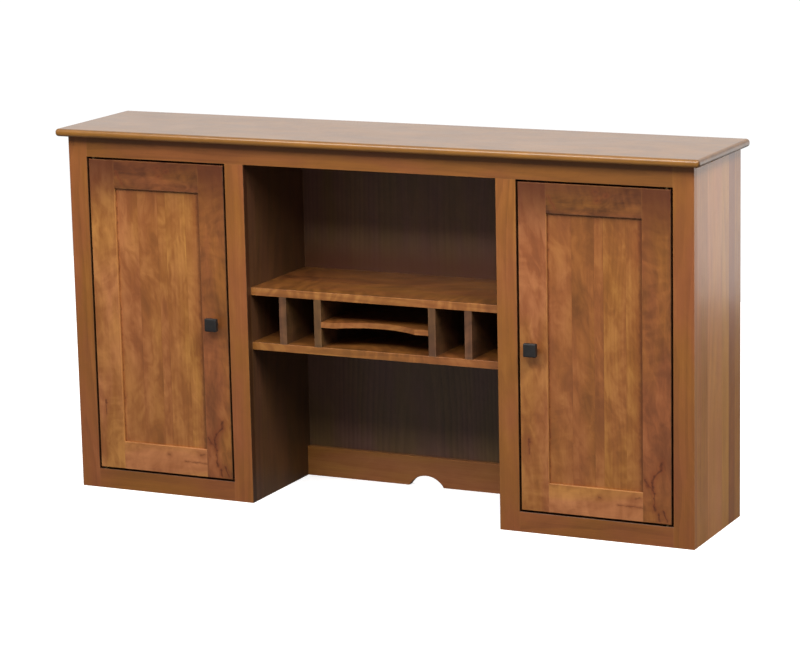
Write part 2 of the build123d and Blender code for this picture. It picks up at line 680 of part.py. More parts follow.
def strike_recess(side):
    """The cutter that lets the strike plate and its spike into the stile."""
    x_range, z_range = strike_ranges(side, MORTISE_PLAY)
    floor = Y_DOOR_BACK + STRIKE_PROUD - STRIKE_THICK
    centre = (sum(x_range) / 2, floor, sum(z_range) / 2)
    spike = rod(centre, (0, -1, 0), STRIKE_SPIKE_RADIUS + HOLE_PLAY, STRIKE_SPIKE_LENGTH + HOLE_SPARE)
    return [block(x_range, (floor, Y_DOOR_BACK + OVERCUT), z_range), spike]


# ---- The whole hutch ----

def build():
    """Every node of the hutch, by name."""
    front_cleat = (Y_FRAME_BACK, Y_FRAME_BACK + CLEAT_DEPTH)
    nodes = {
        "top_slab": drilled_for_slab_screws(top_slab()),
        "face_top_rail": face_top_rail(),
        "back_panel": back_panel(),
        "back_rail": back_rail(),
        "bay_front_cleat": cleat((-X_BAY, X_BAY), front_cleat),
        "bay_rear_cleat": cleat((-X_BAY, X_BAY), (Y_PANEL_FACE - CLEAT_DEPTH, Y_PANEL_FACE)),
        "slab_screws": [countersunk(spot, (0, 0, 1), SLAB_SCREW) for spot in slab_screw_spots()],
        "organizer_upper_shelf": organizer_shelf(UPPER_SHELF_TOP),
        "organizer_lower_shelf": organizer_shelf(LOWER_SHELF_TOP),
        "letter_shelf": letter_shelf(),
        "shelf_pins": shelf_pins(),
        "frame_leaf_screws": frame_leaf_screws(),
        "catch_screws": catch_screws(),
    }
    for number, x_range in enumerate(divider_ranges(), start=1):
        nodes[f"divider_{number}"] = divider(x_range)
    for name, side in SIDES.items():
        nodes[f"{name}_side_panel"] = side_panel(side)
        nodes[f"{name}_partition"] = partition(side)
        nodes[f"{name}_cabinet_floor"] = cabinet_floor(side)
        nodes[f"{name}_cabinet_cleat"] = cleat(across(side, X_PARTITION_OUTER, X_SIDE_INNER), front_cleat)
        nodes[f"{name}_outer_stile"] = outer_stile(side)
        nodes[f"{name}_inner_stile"] = inner_stile(side)
        nodes[f"{name}_bottom_rail"] = bottom_rail(side)
        nodes[f"{name}_lower_shelf"] = cabinet_shelf(side, LOWER_SHELF_HOLE)
        nodes[f"{name}_upper_shelf"] = cabinet_shelf(side, UPPER_SHELF_HOLE)
        nodes[f"{name}_frame_leaves"] = [frame_leaf(side, level) for level in LEVELS.values()]
        nodes[f"{name}_catch"] = catch(side)
        nodes[f"{name}_door_hinge_stile"] = hinge_stile(side)
        nodes[f"{name}_door_free_stile"] = free_stile(side)
        nodes[f"{name}_door_top_rail"] = door_rail(side, LEVELS["top"])
        nodes[f"{name}_door_bottom_rail"] = door_rail(side, LEVELS["bottom"])
        nodes[f"{name}_door_panel"] = door_panel(side)
        nodes[f"{name}_door_leaves"] = [door_leaf(side, level) for level in LEVELS.values()]
        nodes[f"{name}_door_leaf_screws"] = door_leaf_screws(side)
        nodes[f"{name}_strike_plate"] = strike_plate(side)
        nodes[f"{name}_knob"] = knob(side)
        nodes[f"{name}_knob_screw"] = knob_screw(side)
    return nodes


def write(nodes):
    """Writes one STEP file for each node; a list of solids goes into one file as a group."""
    os.makedirs("parts", exist_ok=True)
    for name, shape in nodes.items():
        solids = shape if isinstance(shape, list) else [shape]
        single = [solid for item in solids for solid in item.solids()]
        export_step(Compound(children=single) if len(single) > 1 else single[0], f"parts/{name}.step")


write(build())
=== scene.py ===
"""Dress a packed desk hutch: timber finishes, hardware, light and camera. Metres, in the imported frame."""

import logging
import math
from dataclasses import dataclass, field, replace
from enum import Enum
from typing import Any, Iterable, Sequence

import bmesh
import bpy
from mathutils import Euler, Matrix, Vector


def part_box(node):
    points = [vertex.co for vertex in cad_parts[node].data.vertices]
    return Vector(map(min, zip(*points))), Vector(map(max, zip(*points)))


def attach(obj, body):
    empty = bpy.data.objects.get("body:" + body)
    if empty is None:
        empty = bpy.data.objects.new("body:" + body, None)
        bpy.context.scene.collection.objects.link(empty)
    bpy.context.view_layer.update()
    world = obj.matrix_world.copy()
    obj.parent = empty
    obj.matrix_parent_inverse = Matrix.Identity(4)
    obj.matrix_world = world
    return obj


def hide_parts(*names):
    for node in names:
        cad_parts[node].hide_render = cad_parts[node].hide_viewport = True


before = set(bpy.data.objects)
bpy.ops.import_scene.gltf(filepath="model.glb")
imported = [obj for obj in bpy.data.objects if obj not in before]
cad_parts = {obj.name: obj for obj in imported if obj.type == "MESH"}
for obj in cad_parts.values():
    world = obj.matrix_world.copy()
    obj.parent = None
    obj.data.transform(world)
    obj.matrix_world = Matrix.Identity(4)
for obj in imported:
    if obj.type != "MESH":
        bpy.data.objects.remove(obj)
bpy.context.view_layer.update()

LOG = logging.getLogger("hutch")
SIDES = ("left", "right")
MM = 0.001

Triple = tuple[float, float, float]
Socket = bpy.types.NodeSocket

# How far along each axis of its pattern one whole seed moves a board
SEED_STEP = (0.731, 0.417, 1.913)

# Sockets of a Mix node that mixes colours
MIX_FACTOR, MIX_UNDER, MIX_OVER, MIX_RESULT = 0, 6, 7, 2


# ---- Node wiring ----

class Wiring:
    """Adds nodes to one shader node tree and joins them."""

    def __init__(self, tree: bpy.types.NodeTree) -> None:
        """Keep the tree to work on."""
        self.tree = tree

    def feed(self, socket: Socket, value: Any) -> None:
        """Give a socket its value.

        Args:
            socket: The input to fill.
            value: Another node's output, or a plain number, colour or vector.
        """
        if isinstance(value, bpy.types.NodeSocket):
            self.tree.links.new(value, socket)
        elif socket.type == "RGBA" and len(value) == 3:
            socket.default_value = (*value, 1.0)
        else:
            socket.default_value = value

    def add(self, kind: str, inputs: dict[str, Any] | None = None, **settings: Any) -> bpy.types.Node:
        """Add a node.

        Args:
            kind: The node's type.
            inputs: What each named input gets.
            **settings: The node's own properties.

        Returns:
            The node.
        """
        node = self.tree.nodes.new(kind)
        for name, value in settings.items():
            setattr(node, name, value)
        for name, value in (inputs or {}).items():
            self.feed(node.inputs[name], value)
        return node

    def math(self, operation: str, *values: Any, clamp: bool = False) -> Socket:
        """Join numbers with one Math node.

        Args:
            operation: The Math node's operation.
            *values: Its inputs in order.
            clamp: Whether the result stays in 0 to 1.

        Returns:
            The result.
        """
        node = self.add("ShaderNodeMath", operation=operation, use_clamp=clamp)
        for socket, value in zip(node.inputs, values):
            self.feed(socket, value)
        return node.outputs[0]

    def vector(self, operation: str, *values: Any) -> Socket:
        """Join vectors with one Vector Math node.

        Args:
            operation: The Vector Math node's operation.
            *values: Its inputs in order.

        Returns:
            The vector, or the number of an operation that gives one.
        """
        node = self.add("ShaderNodeVectorMath", operation=operation)
        for socket, value in zip(node.inputs, values):
            self.feed(socket, value)
        gives_number = operation in ("DOT_PRODUCT", "LENGTH", "DISTANCE")
        return node.outputs["Value" if gives_number else "Vector"]

    def noise(self, vector: Any, scale: Triple, detail: float = 2.0, rough: float = 0.5,
              bend: float = 0.0, colour: bool = False) -> Socket:
        """Read a noise pattern.

        Args:
            vector: Where to read it, in metres.
            scale: Cells per metre along each axis.
            detail: How many finer layers it has.
            rough: How strong the finer layers are.
            bend: How much the pattern is twisted.
            colour: Whether to give three separate values.

        Returns:
            The value, about 0 to 1 with a mean of a half.
        """
        node = self.add(
            "ShaderNodeTexNoise",
            {"Vector": self.vector("MULTIPLY", vector, scale), "Scale": 1.0, "Detail": detail,
             "Roughness": rough, "Distortion": bend},
        )
        return node.outputs[1 if colour else 0]

    def ease(self, value: Any, low: float, high: float, to_low: float = 0.0, to_high: float = 1.0) -> Socket:
        """Map a range smoothly onto another and hold it at its ends.

        Args:
            value: The number to map.
            low: Where the change starts.
            high: Where it ends.
            to_low: The result at the start.
            to_high: The result at the end.

        Returns:
            The mapped number.
        """
        node = self.add(
            "ShaderNodeMapRange",
            {"Value": value, "From Min": low, "From Max": high, "To Min": to_low, "To Max": to_high},
            interpolation_type="SMOOTHSTEP",
        )
        return node.outputs[0]

    def blend(self, factor: Any, under: Any, over: Any, mode: str = "MIX") -> Socket:
        """Mix two colours.

        Args:
            factor: How much of the upper colour shows.
            under: The lower colour.
            over: The upper colour.
            mode: The Mix node's blend type.

        Returns:
            The mixed colour.
        """
        node = self.add("ShaderNodeMix", data_type="RGBA", blend_type=mode)
        for index, value in ((MIX_FACTOR, factor), (MIX_UNDER, under), (MIX_OVER, over)):
            self.feed(node.inputs[index], value)
        return node.outputs[MIX_RESULT]

    def ramp(self, value: Any, stops: Sequence[tuple[float, Triple]], steps: bool = False) -> Socket:
        """Turn a number into a colour.

        Args:
            value: The number.
            stops: Positions and their colours, in order.
            steps: Whether each colour holds until the next, with no fading between.

        Returns:
            The colour.
        """
        node = self.add("ShaderNodeValToRGB", {"Fac": value})
        node.color_ramp.interpolation = "CONSTANT" if steps else "LINEAR"
        elements = node.color_ramp.elements
        while len(elements) < len(stops):
            elements.new(0.5)
        for element, (position, colour) in zip(elements, stops):
            element.position = position
            element.color = (*colour, 1.0)
        return node.outputs["Color"]

    def weigh(self, *parts: tuple[Any, float]) -> Socket:
        """Add up values times their strengths.

        Args:
            *parts: Pairs of a value and its strength.

        Returns:
            The sum.
        """
        total: Any = 0.0
        for value, strength in parts:
            total = self.math("MULTIPLY_ADD", value, strength, total)
        return total


# ---- Effects that several finishes share, each one node group ----

class Effect:
    """A shader node group, built once and placed in every material that uses it."""

    name = ""
    inputs: dict[str, tuple[str, Any]] = {}
    outputs: dict[str, str] = {}

    @classmethod
    def wire(cls, w: Wiring, given: Any) -> dict[str, Any]:
        """Build the inside of the group.

        Args:
            w: The group's wiring.
            given: The group's inputs by name.

        Returns:
            What each output gets.
        """
        raise NotImplementedError

    @classmethod
    def tree(cls) -> bpy.types.NodeTree:
        """Find the group, or build it the first time.

        Returns:
            The node group.
        """
        if cls.name in bpy.data.node_groups:
            return bpy.data.node_groups[cls.name]
        made = bpy.data.node_groups.new(cls.name, "ShaderNodeTree")
        for name, (kind, default) in cls.inputs.items():
            socket = made.interface.new_socket(name, in_out="INPUT", socket_type=f"NodeSocket{kind}")
            socket.default_value = default
        for name, kind in cls.outputs.items():
            made.interface.new_socket(name, in_out="OUTPUT", socket_type=f"NodeSocket{kind}")
        w = Wiring(made)
        given = w.add("NodeGroupInput").outputs
        sink = w.add("NodeGroupOutput")
        for name, value in cls.wire(w, given).items():
            w.feed(sink.inputs[name], value)
        return made

    @classmethod
    def place(cls, w: Wiring, **values: Any) -> Any:
        """Place the group in a material.

        Args:
            w: The material's wiring.
            **values: What the group's inputs get.

        Returns:
            The outputs by name.
        """
        node = w.add("ShaderNodeGroup", node_tree=cls.tree())
        for name, value in values.items():
            w.feed(node.inputs[name], value)
        return node.outputs


class BoardGrain(Effect):
    """Growth rings, fibres and pores of one board, with the grain along its own third axis."""

    name = "board grain"
    inputs = {
        "Vector": ("Vector", (0.0, 0.0, 0.0)),
        "Offset": ("Vector", (0.0, 0.0, 0.0)),
        "Pith": ("Vector", (0.02, 0.09, 0.0)),
        "Ring Spacing": ("Float", 0.007),
    }
    outputs = {"Fibre": "Float", "Rings": "Float", "Pores": "Float", "Height": "Float"}

    @classmethod
    def wire(cls, w: Wiring, given: Any) -> dict[str, Any]:
        """Build rings round a wandering pith, then fibre lines and pores along the grain.

        Args:
            w: The group's wiring.
            given: The group's inputs by name.

        Returns:
            The fibres, rings and pores, and the height that they give.
        """
        shifted = w.vector("ADD", given["Vector"], given["Offset"])
        sway = w.vector("SUBTRACT", w.noise(shifted, (3.0, 3.0, 1.3), 1.5, colour=True), (0.5, 0.5, 0.5))
        wandered = w.vector("MULTIPLY_ADD", sway, (0.07, 0.05, 0.0), given["Vector"])
        across = w.vector("MULTIPLY", w.vector("ADD", wandered, given["Pith"]), (1.0, 1.0, 0.0))
        waver = w.noise(shifted, (60.0, 60.0, 6.0), 2.0)
        turns = w.math("DIVIDE", w.vector("LENGTH", across), given["Ring Spacing"])
        phase = w.math("FRACT", w.math("MULTIPLY_ADD", waver, 0.5, turns))
        line = w.math("MULTIPLY", w.ease(phase, 0.25, 0.9), w.ease(phase, 1.0, 0.93))
        strength = w.ease(w.noise(shifted, (9.0, 9.0, 1.5), 1.0), 0.3, 0.7, 0.25, 1.0)
        fine = w.noise(shifted, (420.0, 420.0, 7.0), 3.0, 0.6)
        broad = w.noise(shifted, (55.0, 55.0, 1.7), 3.0, 0.6)
        pores = w.ease(w.noise(shifted, (1100.0, 1100.0, 60.0), 1.0), 0.62, 0.75)
        rings = w.math("MULTIPLY", line, strength)
        return {
            "Fibre": w.weigh((fine, 0.45), (broad, 0.55)),
            "Rings": rings,
            "Pores": pores,
            "Height": w.weigh((fine, 0.8), (pores, -0.7), (rings, 0.25)),
        }


class FigurePatches(Effect):
    """The clouded and curly figure of a board: soft light and dark patches, and ripples across the grain."""

    name = "figure patches"
    inputs = {
        "Vector": ("Vector", (0.0, 0.0, 0.0)),
        "Offset": ("Vector", (0.0, 0.0, 0.0)),
        "Curl": ("Float", 0.4),
    }
    outputs = {"Figure": "Float", "Hue": "Float"}
    slant = 0.20

    @classmethod
    def wire(cls, w: Wiring, given: Any) -> dict[str, Any]:
        """Build clouds, ripples where the curl shows, and a slow drift of hue.

        Args:
            w: The group's wiring.
            given: The group's inputs by name.

        Returns:
            The figure and the hue.
        """
        shifted = w.vector("ADD", given["Vector"], given["Offset"])
        slant = w.add("ShaderNodeMapping", {"Vector": shifted, "Rotation": (0.0, cls.slant, 0.0)})
        wavy = w.vector("MULTIPLY_ADD", w.noise(shifted, (7.0, 7.0, 5.0), 1.0, colour=True),
                        (0.07, 0.05, 0.12), slant.outputs["Vector"])
        broad = w.noise(wavy, (20.0, 20.0, 8.0), 2.0, 0.5)
        small = w.noise(wavy, (58.0, 58.0, 26.0), 3.0, 0.55, 0.8)
        cloud = w.ease(w.weigh((broad, 0.62), (small, 0.38)), 0.32, 0.68)
        ripple = w.ease(w.noise(wavy, (16.0, 16.0, 52.0), 2.0, 0.5), 0.34, 0.66)
        shows = w.math("MULTIPLY", w.ease(w.noise(shifted, (6.0, 6.0, 3.0), 1.0), 0.42, 0.62), given["Curl"])
        rippled = w.math("MULTIPLY_ADD", w.math("SUBTRACT", ripple, cloud), shows, cloud)
        return {
            "Figure": rippled,
            "Hue": w.ease(w.noise(shifted, (13.0, 13.0, 3.5), 2.0), 0.3, 0.7),
        }


class GluedStaves(Effect):
    """Staves of uneven width glued edge to edge, each with its own tone, hue and place in the log."""

    name = "glued staves"
    inputs = {
        "Vector": ("Vector", (0.0, 0.0, 0.0)),
        "Width": ("Float", 0.06),
        "Seed": ("Float", 0.0),
    }
    outputs = {"Tone": "Float", "Hue": "Float", "Vector": "Vector", "Joint": "Float"}

    @classmethod
    def wire(cls, w: Wiring, given: Any) -> dict[str, Any]:
        """Number the staves across the board and draw each one's values from its number.

        Args:
            w: The group's wiring.
            given: The group's inputs by name.

        Returns:
            Each stave's tone, hue and place in the log, and the joints.
        """
        across = w.add("ShaderNodeSeparateXYZ", {"Vector": given["Vector"]}).outputs["X"]
        count = w.math("DIVIDE", across, given["Width"])
        uneven = w.math("SINE", w.math("MULTIPLY_ADD", count, 2.1, given["Seed"]))
        place = w.math("MULTIPLY_ADD", uneven, 0.3, count)
        number = w.math("MULTIPLY_ADD", given["Seed"], 7.0, w.math("FLOOR", place))
        drawn = w.add("ShaderNodeTexWhiteNoise", {"W": number}, noise_dimensions="1D").outputs["Color"]
        parts = w.add("ShaderNodeSeparateXYZ", {"Vector": drawn}).outputs
        within = w.math("FRACT", place)
        edge = w.math("MULTIPLY", w.math("MINIMUM", within, w.math("SUBTRACT", 1.0, within)), given["Width"])
        return {
            "Tone": parts["X"],
            "Hue": parts["Y"],
            "Vector": w.vector("MULTIPLY_ADD", drawn, (0.05, 0.3, 6.0), given["Vector"]),
            "Joint": w.ease(edge, 0.0009, 0.0002),
        }


class RubbedEdge(Effect):
    """Where handling has rubbed the edges of a squared piece."""

    name = "rubbed edge"
    inputs = {
        "Vector": ("Vector", (0.0, 0.0, 0.0)),
        "Low": ("Vector", (-1.0, -1.0, -1.0)),
        "High": ("Vector", (1.0, 1.0, 1.0)),
        "Width": ("Float", 0.002),
    }
    outputs = {"Mask": "Float"}

    @classmethod
    def wire(cls, w: Wiring, given: Any) -> dict[str, Any]:
        """Take the middle one of the distances to the six faces, because the least is the surface's own.

        Args:
            w: The group's wiring.
            given: The group's inputs by name.

        Returns:
            Where the edges are rubbed.
        """
        from_low = w.vector("SUBTRACT", given["Vector"], given["Low"])
        from_high = w.vector("SUBTRACT", given["High"], given["Vector"])
        inset = w.add("ShaderNodeSeparateXYZ", {"Vector": w.vector("MINIMUM", from_low, from_high)}).outputs
        x, y, z = inset["X"], inset["Y"], inset["Z"]
        middle = w.math("MAXIMUM", w.math("MINIMUM", x, y), w.math("MINIMUM", w.math("MAXIMUM", x, y), z))
        patchy = w.noise(given["Vector"], (55.0, 55.0, 55.0), 3.0, 0.6)
        reach = w.math("MULTIPLY", given["Width"], w.ease(patchy, 0.3, 0.75, 0.35, 1.6))
        share = w.math("DIVIDE", middle, reach)
        return {"Mask": w.ease(share, 1.0, 0.3)}


class DarkStreakOrShade(Effect):
    """A ragged dark line from one point to another: a mineral streak in the wood, and, made wide and soft, a
    band of painted shade.
    """

    name = "dark streak or painted shade"
    inputs = {
        "Vector": ("Vector", (0.0, 0.0, 0.0)),
        "Start": ("Vector", (0.0, 0.0, 0.0)),
        "End": ("Vector", (0.0, 0.0, 0.01)),
        "Width": ("Float", 0.003),
    }
    outputs = {"Mask": "Float", "Halo": "Float"}

    @classmethod
    def wire(cls, w: Wiring, given: Any) -> dict[str, Any]:
        """Measure the distance to the line, with a rough edge.

        Args:
            w: The group's wiring.
            given: The group's inputs by name.

        Returns:
            The line itself, and the wider stain round it.
        """
        ragged = w.vector("SUBTRACT", w.noise(given["Vector"], (110.0, 110.0, 70.0), 3.0, 0.6, colour=True),
                          (0.5, 0.5, 0.5))
        point = w.vector("MULTIPLY_ADD", ragged, (0.014, 0.0, 0.010), given["Vector"])
        flat = w.vector("MULTIPLY", w.vector("SUBTRACT", point, given["Start"]), (1.0, 0.0, 1.0))
        line = w.vector("MULTIPLY", w.vector("SUBTRACT", given["End"], given["Start"]), (1.0, 0.0, 1.0))
        along = w.math("DIVIDE", w.vector("DOT_PRODUCT", flat, line), w.vector("DOT_PRODUCT", line, line),
                       clamp=True)
        spread = w.add("ShaderNodeCombineXYZ", {"X": along, "Y": along, "Z": along}).outputs[0]
        gap = w.vector("LENGTH", w.vector("SUBTRACT", flat, w.vector("MULTIPLY", line, spread)))
        share = w.math("DIVIDE", gap, given["Width"])
        return {"Mask": w.ease(share, 1.35, 0.0), "Halo": w.ease(share, 4.5, 0.3)}


class HandledSheen(Effect):
    """Small changes of gloss over a satin surface: brush-out, wiping marks and a little dust."""

    name = "handled sheen"
    inputs = {"Vector": ("Vector", (0.0, 0.0, 0.0))}
    outputs = {"Change": "Float", "Ripple": "Float"}

    @classmethod
    def wire(cls, w: Wiring, given: Any) -> dict[str, Any]:
        """Build wiping marks, specks, and the soft unevenness of a brushed coat.

        Args:
            w: The group's wiring.
            given: The group's inputs by name.

        Returns:
            The change of gloss, and the ripple of the surface.
        """
        wiped = w.noise(given["Vector"], (6.0, 6.0, 3.0), 4.0, 0.6, 0.5)
        specks = w.noise(given["Vector"], (700.0, 700.0, 700.0), 1.0)
        ripple = w.noise(given["Vector"], (35.0, 35.0, 14.0), 2.0)
        return {"Change": w.weigh((wiped, 0.75), (specks, 0.25)), "Ripple": ripple}


# ---- Timber ----

class Grain(Enum):
    """The axis along which a board's grain runs, and the turn that brings it to the pattern's third axis."""

    X = ((0.0, -90.0, 0.0), (1.0, 0.0, 0.0))
    X_EDGE = ((0.0, -90.0, 90.0), (1.0, 0.0, 0.0))
    Z = ((0.0, 0.0, 0.0), (0.0, 0.0, 1.0))
    Z_EDGE = ((0.0, 0.0, 90.0), (0.0, 0.0, 1.0))

    @property
    def turn(self) -> Euler:
        """The turn as Euler angles."""
        return Euler([math.radians(angle) for angle in self.value[0]])

    @property
    def axis(self) -> Vector:
        """The direction of the grain in the frame."""
        return Vector(self.value[1])


@dataclass(frozen=True)
class StreakOrShade:
    """One dark mark in the wood, or a band of painted shade, in the board's own metres from its middle:
    across, and along the grain.
    """

    start: tuple[float, float]
    end: tuple[float, float]
    width: float = 0.0022
    depth: float = 0.85
    halo: float = 0.42


@dataclass(frozen=True)
class PaintedFacingLight:
    """Painted light and shade on the faces of a board that look one way: below 0 painted shade, darker; above
    0 painted light, lighter.
    """

    facing: Triple
    change: float


@dataclass(frozen=True)
class Stave:
    """One stave of a chosen layout: where it starts across the board as a share, its tone and its hue."""

    start: float
    tone: float
    hue: float


@dataclass(frozen=True)
class Board:
    """One wooden part: its node, the way its grain runs, and what sets it apart from its neighbours."""

    node: str
    grain: Grain
    seed: float
    tone: float = 0.0
    hue: float = 0.0
    # Dark marks in the wood, and bands of painted shade
    streaks: tuple[StreakOrShade, ...] = ()
    staves: tuple[Stave, ...] = ()
    # Painted light and shade on the faces that look one way
    painted_facing_light: tuple[PaintedFacingLight, ...] = ()
    pith: Triple = (0.02, 0.09, 0.0)

    def box(self) -> tuple[Vector, Vector]:
        """The lowest and highest corners of the board."""
        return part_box(self.node)


@dataclass(frozen=True)
class TimberFinish:
    """Stained and lacquered cherry-coloured wood. Colours are linear; strengths are shares of the tone."""

    dark: Triple = (0.070, 0.021, 0.005)
    middle: Triple = (0.290, 0.100, 0.024)
    light: Triple = (0.580, 0.260, 0.075)
    golden: Triple = (1.00, 1.04, 0.72)
    reddish: Triple = (1.02, 0.90, 1.12)
    # The colour of dark streaks in the wood, and of the bands of painted shade
    streak_and_shade_colour: Triple = (0.085, 0.019, 0.005)
    bark_halo: Triple = (0.210, 0.048, 0.012)
    # The near-black of the painted shade on faces that look into a door gap
    painted_gap_shade: Triple = (0.012, 0.005, 0.003)
    tone: float = 0.5
    fibre: float = 0.34
    rings: float = 0.09
    figure: float = 0.16
    curl: float = 0.3
    stave_width: float = 0.0
    stave_tone: float = 0.22
    ring_spacing: float = 0.0075
    roughness: float = 0.40
    coat: float = 0.35
    coat_roughness: float = 0.22
    edge_wear: float = 0.25
    wear_width: float = 0.0022
    relief: float = 0.00016
    plies: bool = False
    # Painted light: how much lighter the faces that look to the front are, as a share of the tone
    painted_front_light: float = 0.0

    def material(self, board: Board, name: str | None = None) -> bpy.types.Material:
        """Make the finish for one board.

        Args:
            board: The board that it goes on.
            name: The material's name, if not the board's.

        Returns:
            The material.
        """
        made = bpy.data.materials.new(name or f"{board.node}_wood")
        made.use_nodes = True
        made.node_tree.nodes.clear()
        w = Wiring(made.node_tree)
        source = w.add("ShaderNodeTexCoord").outputs
        low, high = board.box()
        turn = board.grain.turn
        place = -(turn.to_matrix() @ ((low + high) / 2))
        own = w.add("ShaderNodeMapping", {"Vector": source["Object"], "Location": place, "Rotation": turn})
        own_vector = own.outputs["Vector"]
        offset = tuple(board.seed * step for step in SEED_STEP)

        vector, stave = own_vector, None
        if board.staves:
            vector, stave = self._laid_staves(w, own_vector, board)
        elif self.stave_width:
            stave = GluedStaves.place(w, Vector=own_vector, Width=self.stave_width, Seed=board.seed)
            vector = stave["Vector"]
        grain = BoardGrain.place(
            w, Vector=vector, Offset=offset, Pith=board.pith, **{"Ring Spacing": self.ring_spacing}
        )
        figure = FigurePatches.place(w, Vector=vector, Offset=offset, Curl=self.curl)
        edge = RubbedEdge.place(w, Vector=source["Object"], Low=low, High=high, Width=self.wear_width)
        sheen = HandledSheen.place(w, Vector=own_vector)
        cross = w.vector("DOT_PRODUCT", source["Normal"], board.grain.axis)
        end = w.ease(w.math("ABSOLUTE", cross), 0.55, 0.85)

        start = self.tone + board.tone - 0.5 * (self.fibre + self.figure) + 0.2 * self.rings
        parts = [(grain["Fibre"], self.fibre), (grain["Rings"], -self.rings), (figure["Figure"], self.figure),
                 (grain["Pores"], -0.06), (end, -0.20), (1.0, start)]
        hue = figure["Hue"]
        if stave:
            parts += [(stave["Tone"], self.stave_tone), (1.0, -0.5 * self.stave_tone),
                      (stave["Joint"], -0.08)]
            hue = w.weigh((figure["Hue"], 0.45), (stave["Hue"], 0.55))
        hue = w.math("ADD", hue, board.hue, clamp=True)
        # Painted light on the faces that look to the front
        if self.painted_front_light:
            front = w.add("ShaderNodeSeparateXYZ", {"Vector": source["Normal"]}).outputs["Y"]
            parts.append((w.ease(front, -0.4, -0.8), self.painted_front_light))
        if self.plies:
            parts.append((self._ply_lines(w, source, low, high), -0.25))
        tone = w.weigh(*parts)
        colour = w.ramp(tone, ((0.0, self.dark), (0.5, self.middle), (1.0, self.light)))
        colour = w.blend(1.0, colour, w.blend(hue, self.golden, self.reddish), "MULTIPLY")
        # Dark marks in the wood, and bands of painted shade, drawn towards the streak and shade colour
        for streak in board.streaks:
            mark = DarkStreakOrShade.place(
                w, Vector=own_vector, Start=(streak.start[0], 0.0, streak.start[1]),
                End=(streak.end[0], 0.0, streak.end[1]), Width=streak.width,
            )
            colour = w.blend(w.math("MULTIPLY", mark["Halo"], streak.halo), colour, self.bark_halo)
            colour = w.blend(w.math("MULTIPLY", mark["Mask"], streak.depth), colour, self.streak_and_shade_colour)
        # Painted light and shade: faces that look one way are darkened towards the painted gap shade when the
        # change is below 0, and lightened towards the light colour when above
        for face_light in board.painted_facing_light:
            facing = w.ease(w.vector("DOT_PRODUCT", source["Normal"], face_light.facing), 0.5, 0.8)
            shade = self.light if face_light.change > 0.0 else self.painted_gap_shade
            colour = w.blend(w.math("MULTIPLY", facing, abs(face_light.change)), colour, shade)
        worn = w.math("MULTIPLY", edge["Mask"], self.edge_wear)
        colour = w.blend(worn, colour, self.light)

        bump = w.add("ShaderNodeBump", {
            "Height": w.weigh((grain["Height"], 1.0), (sheen["Ripple"], 0.8)),
            "Strength": 0.6, "Distance": self.relief,
        })
        shader = w.add("ShaderNodeBsdfPrincipled", {
            "Base Color": colour,
            "Roughness": w.weigh((sheen["Change"], 0.14), (grain["Fibre"], 0.08), (worn, 0.2),
                                 (1.0, self.roughness - 0.11)),
            "IOR": 1.5,
            "Coat Weight": self.coat,
            "Coat Roughness": self.coat_roughness,
            "Normal": bump.outputs["Normal"],
        })
        w.add("ShaderNodeOutputMaterial", {"Surface": shader.outputs["BSDF"]})
        return made

    @staticmethod
    def _laid_staves(w: Wiring, own_vector: Socket, board: Board) -> tuple[Socket, dict[str, Any]]:
        """Lay the board's own list of staves across it.

        Args:
            w: The material's wiring.
            own_vector: The place on the board.
            board: The board and its staves.

        Returns:
            The place in the log that each stave came from, and the staves' tone, hue and joints.
        """
        low, high = board.box()
        across = w.add("ShaderNodeSeparateXYZ", {"Vector": own_vector}).outputs["X"]
        share = w.math("MULTIPLY_ADD", across, 1.0 / (high.x - low.x), 0.5)
        stops = [(stave.start, (stave.tone, stave.hue, (n * 0.37) % 1.0))
                 for n, stave in enumerate(board.staves)]
        drawn = w.ramp(share, stops, steps=True)
        parts = w.add("ShaderNodeSeparateXYZ", {"Vector": drawn}).outputs
        joint: Any = 0.0
        for stave in board.staves[1:]:
            gap = w.math("ABSOLUTE", w.math("SUBTRACT", share, stave.start))
            joint = w.math("MAXIMUM", joint, w.ease(gap, 0.004, 0.001))
        moved = w.vector("MULTIPLY_ADD", drawn, (0.11, 0.4, 5.0), own_vector)
        return moved, {"Tone": parts["X"], "Hue": parts["Y"], "Joint": joint}

    @staticmethod
    def _ply_lines(w: Wiring, source: Any, low: Vector, high: Vector) -> Socket:
        """Draw the plies on a thin sheet's edges.

        Args:
            w: The material's wiring.
            source: The outputs of its Texture Coordinate node.
            low: The sheet's lowest corner.
            high: The sheet's highest corner.

        Returns:
            1 on the dark plies of an edge, and 0 elsewhere.
        """
        thick = min(range(3), key=lambda axis: high[axis] - low[axis])
        ply = (high[thick] - low[thick]) / 5
        depth = w.add("ShaderNodeSeparateXYZ", {"Vector": source["Object"]}).outputs[thick]
        facing = w.add("ShaderNodeSeparateXYZ", {"Vector": source["Normal"]}).outputs[thick]
        part = w.math("PINGPONG", w.math("SUBTRACT", depth, low[thick]), ply)
        on_edge = w.ease(w.math("ABSOLUTE", facing), 0.6, 0.4)
        return w.math("MULTIPLY", w.ease(part, 0.4 * ply, 0.6 * ply), on_edge)


# ---- Hardware ----

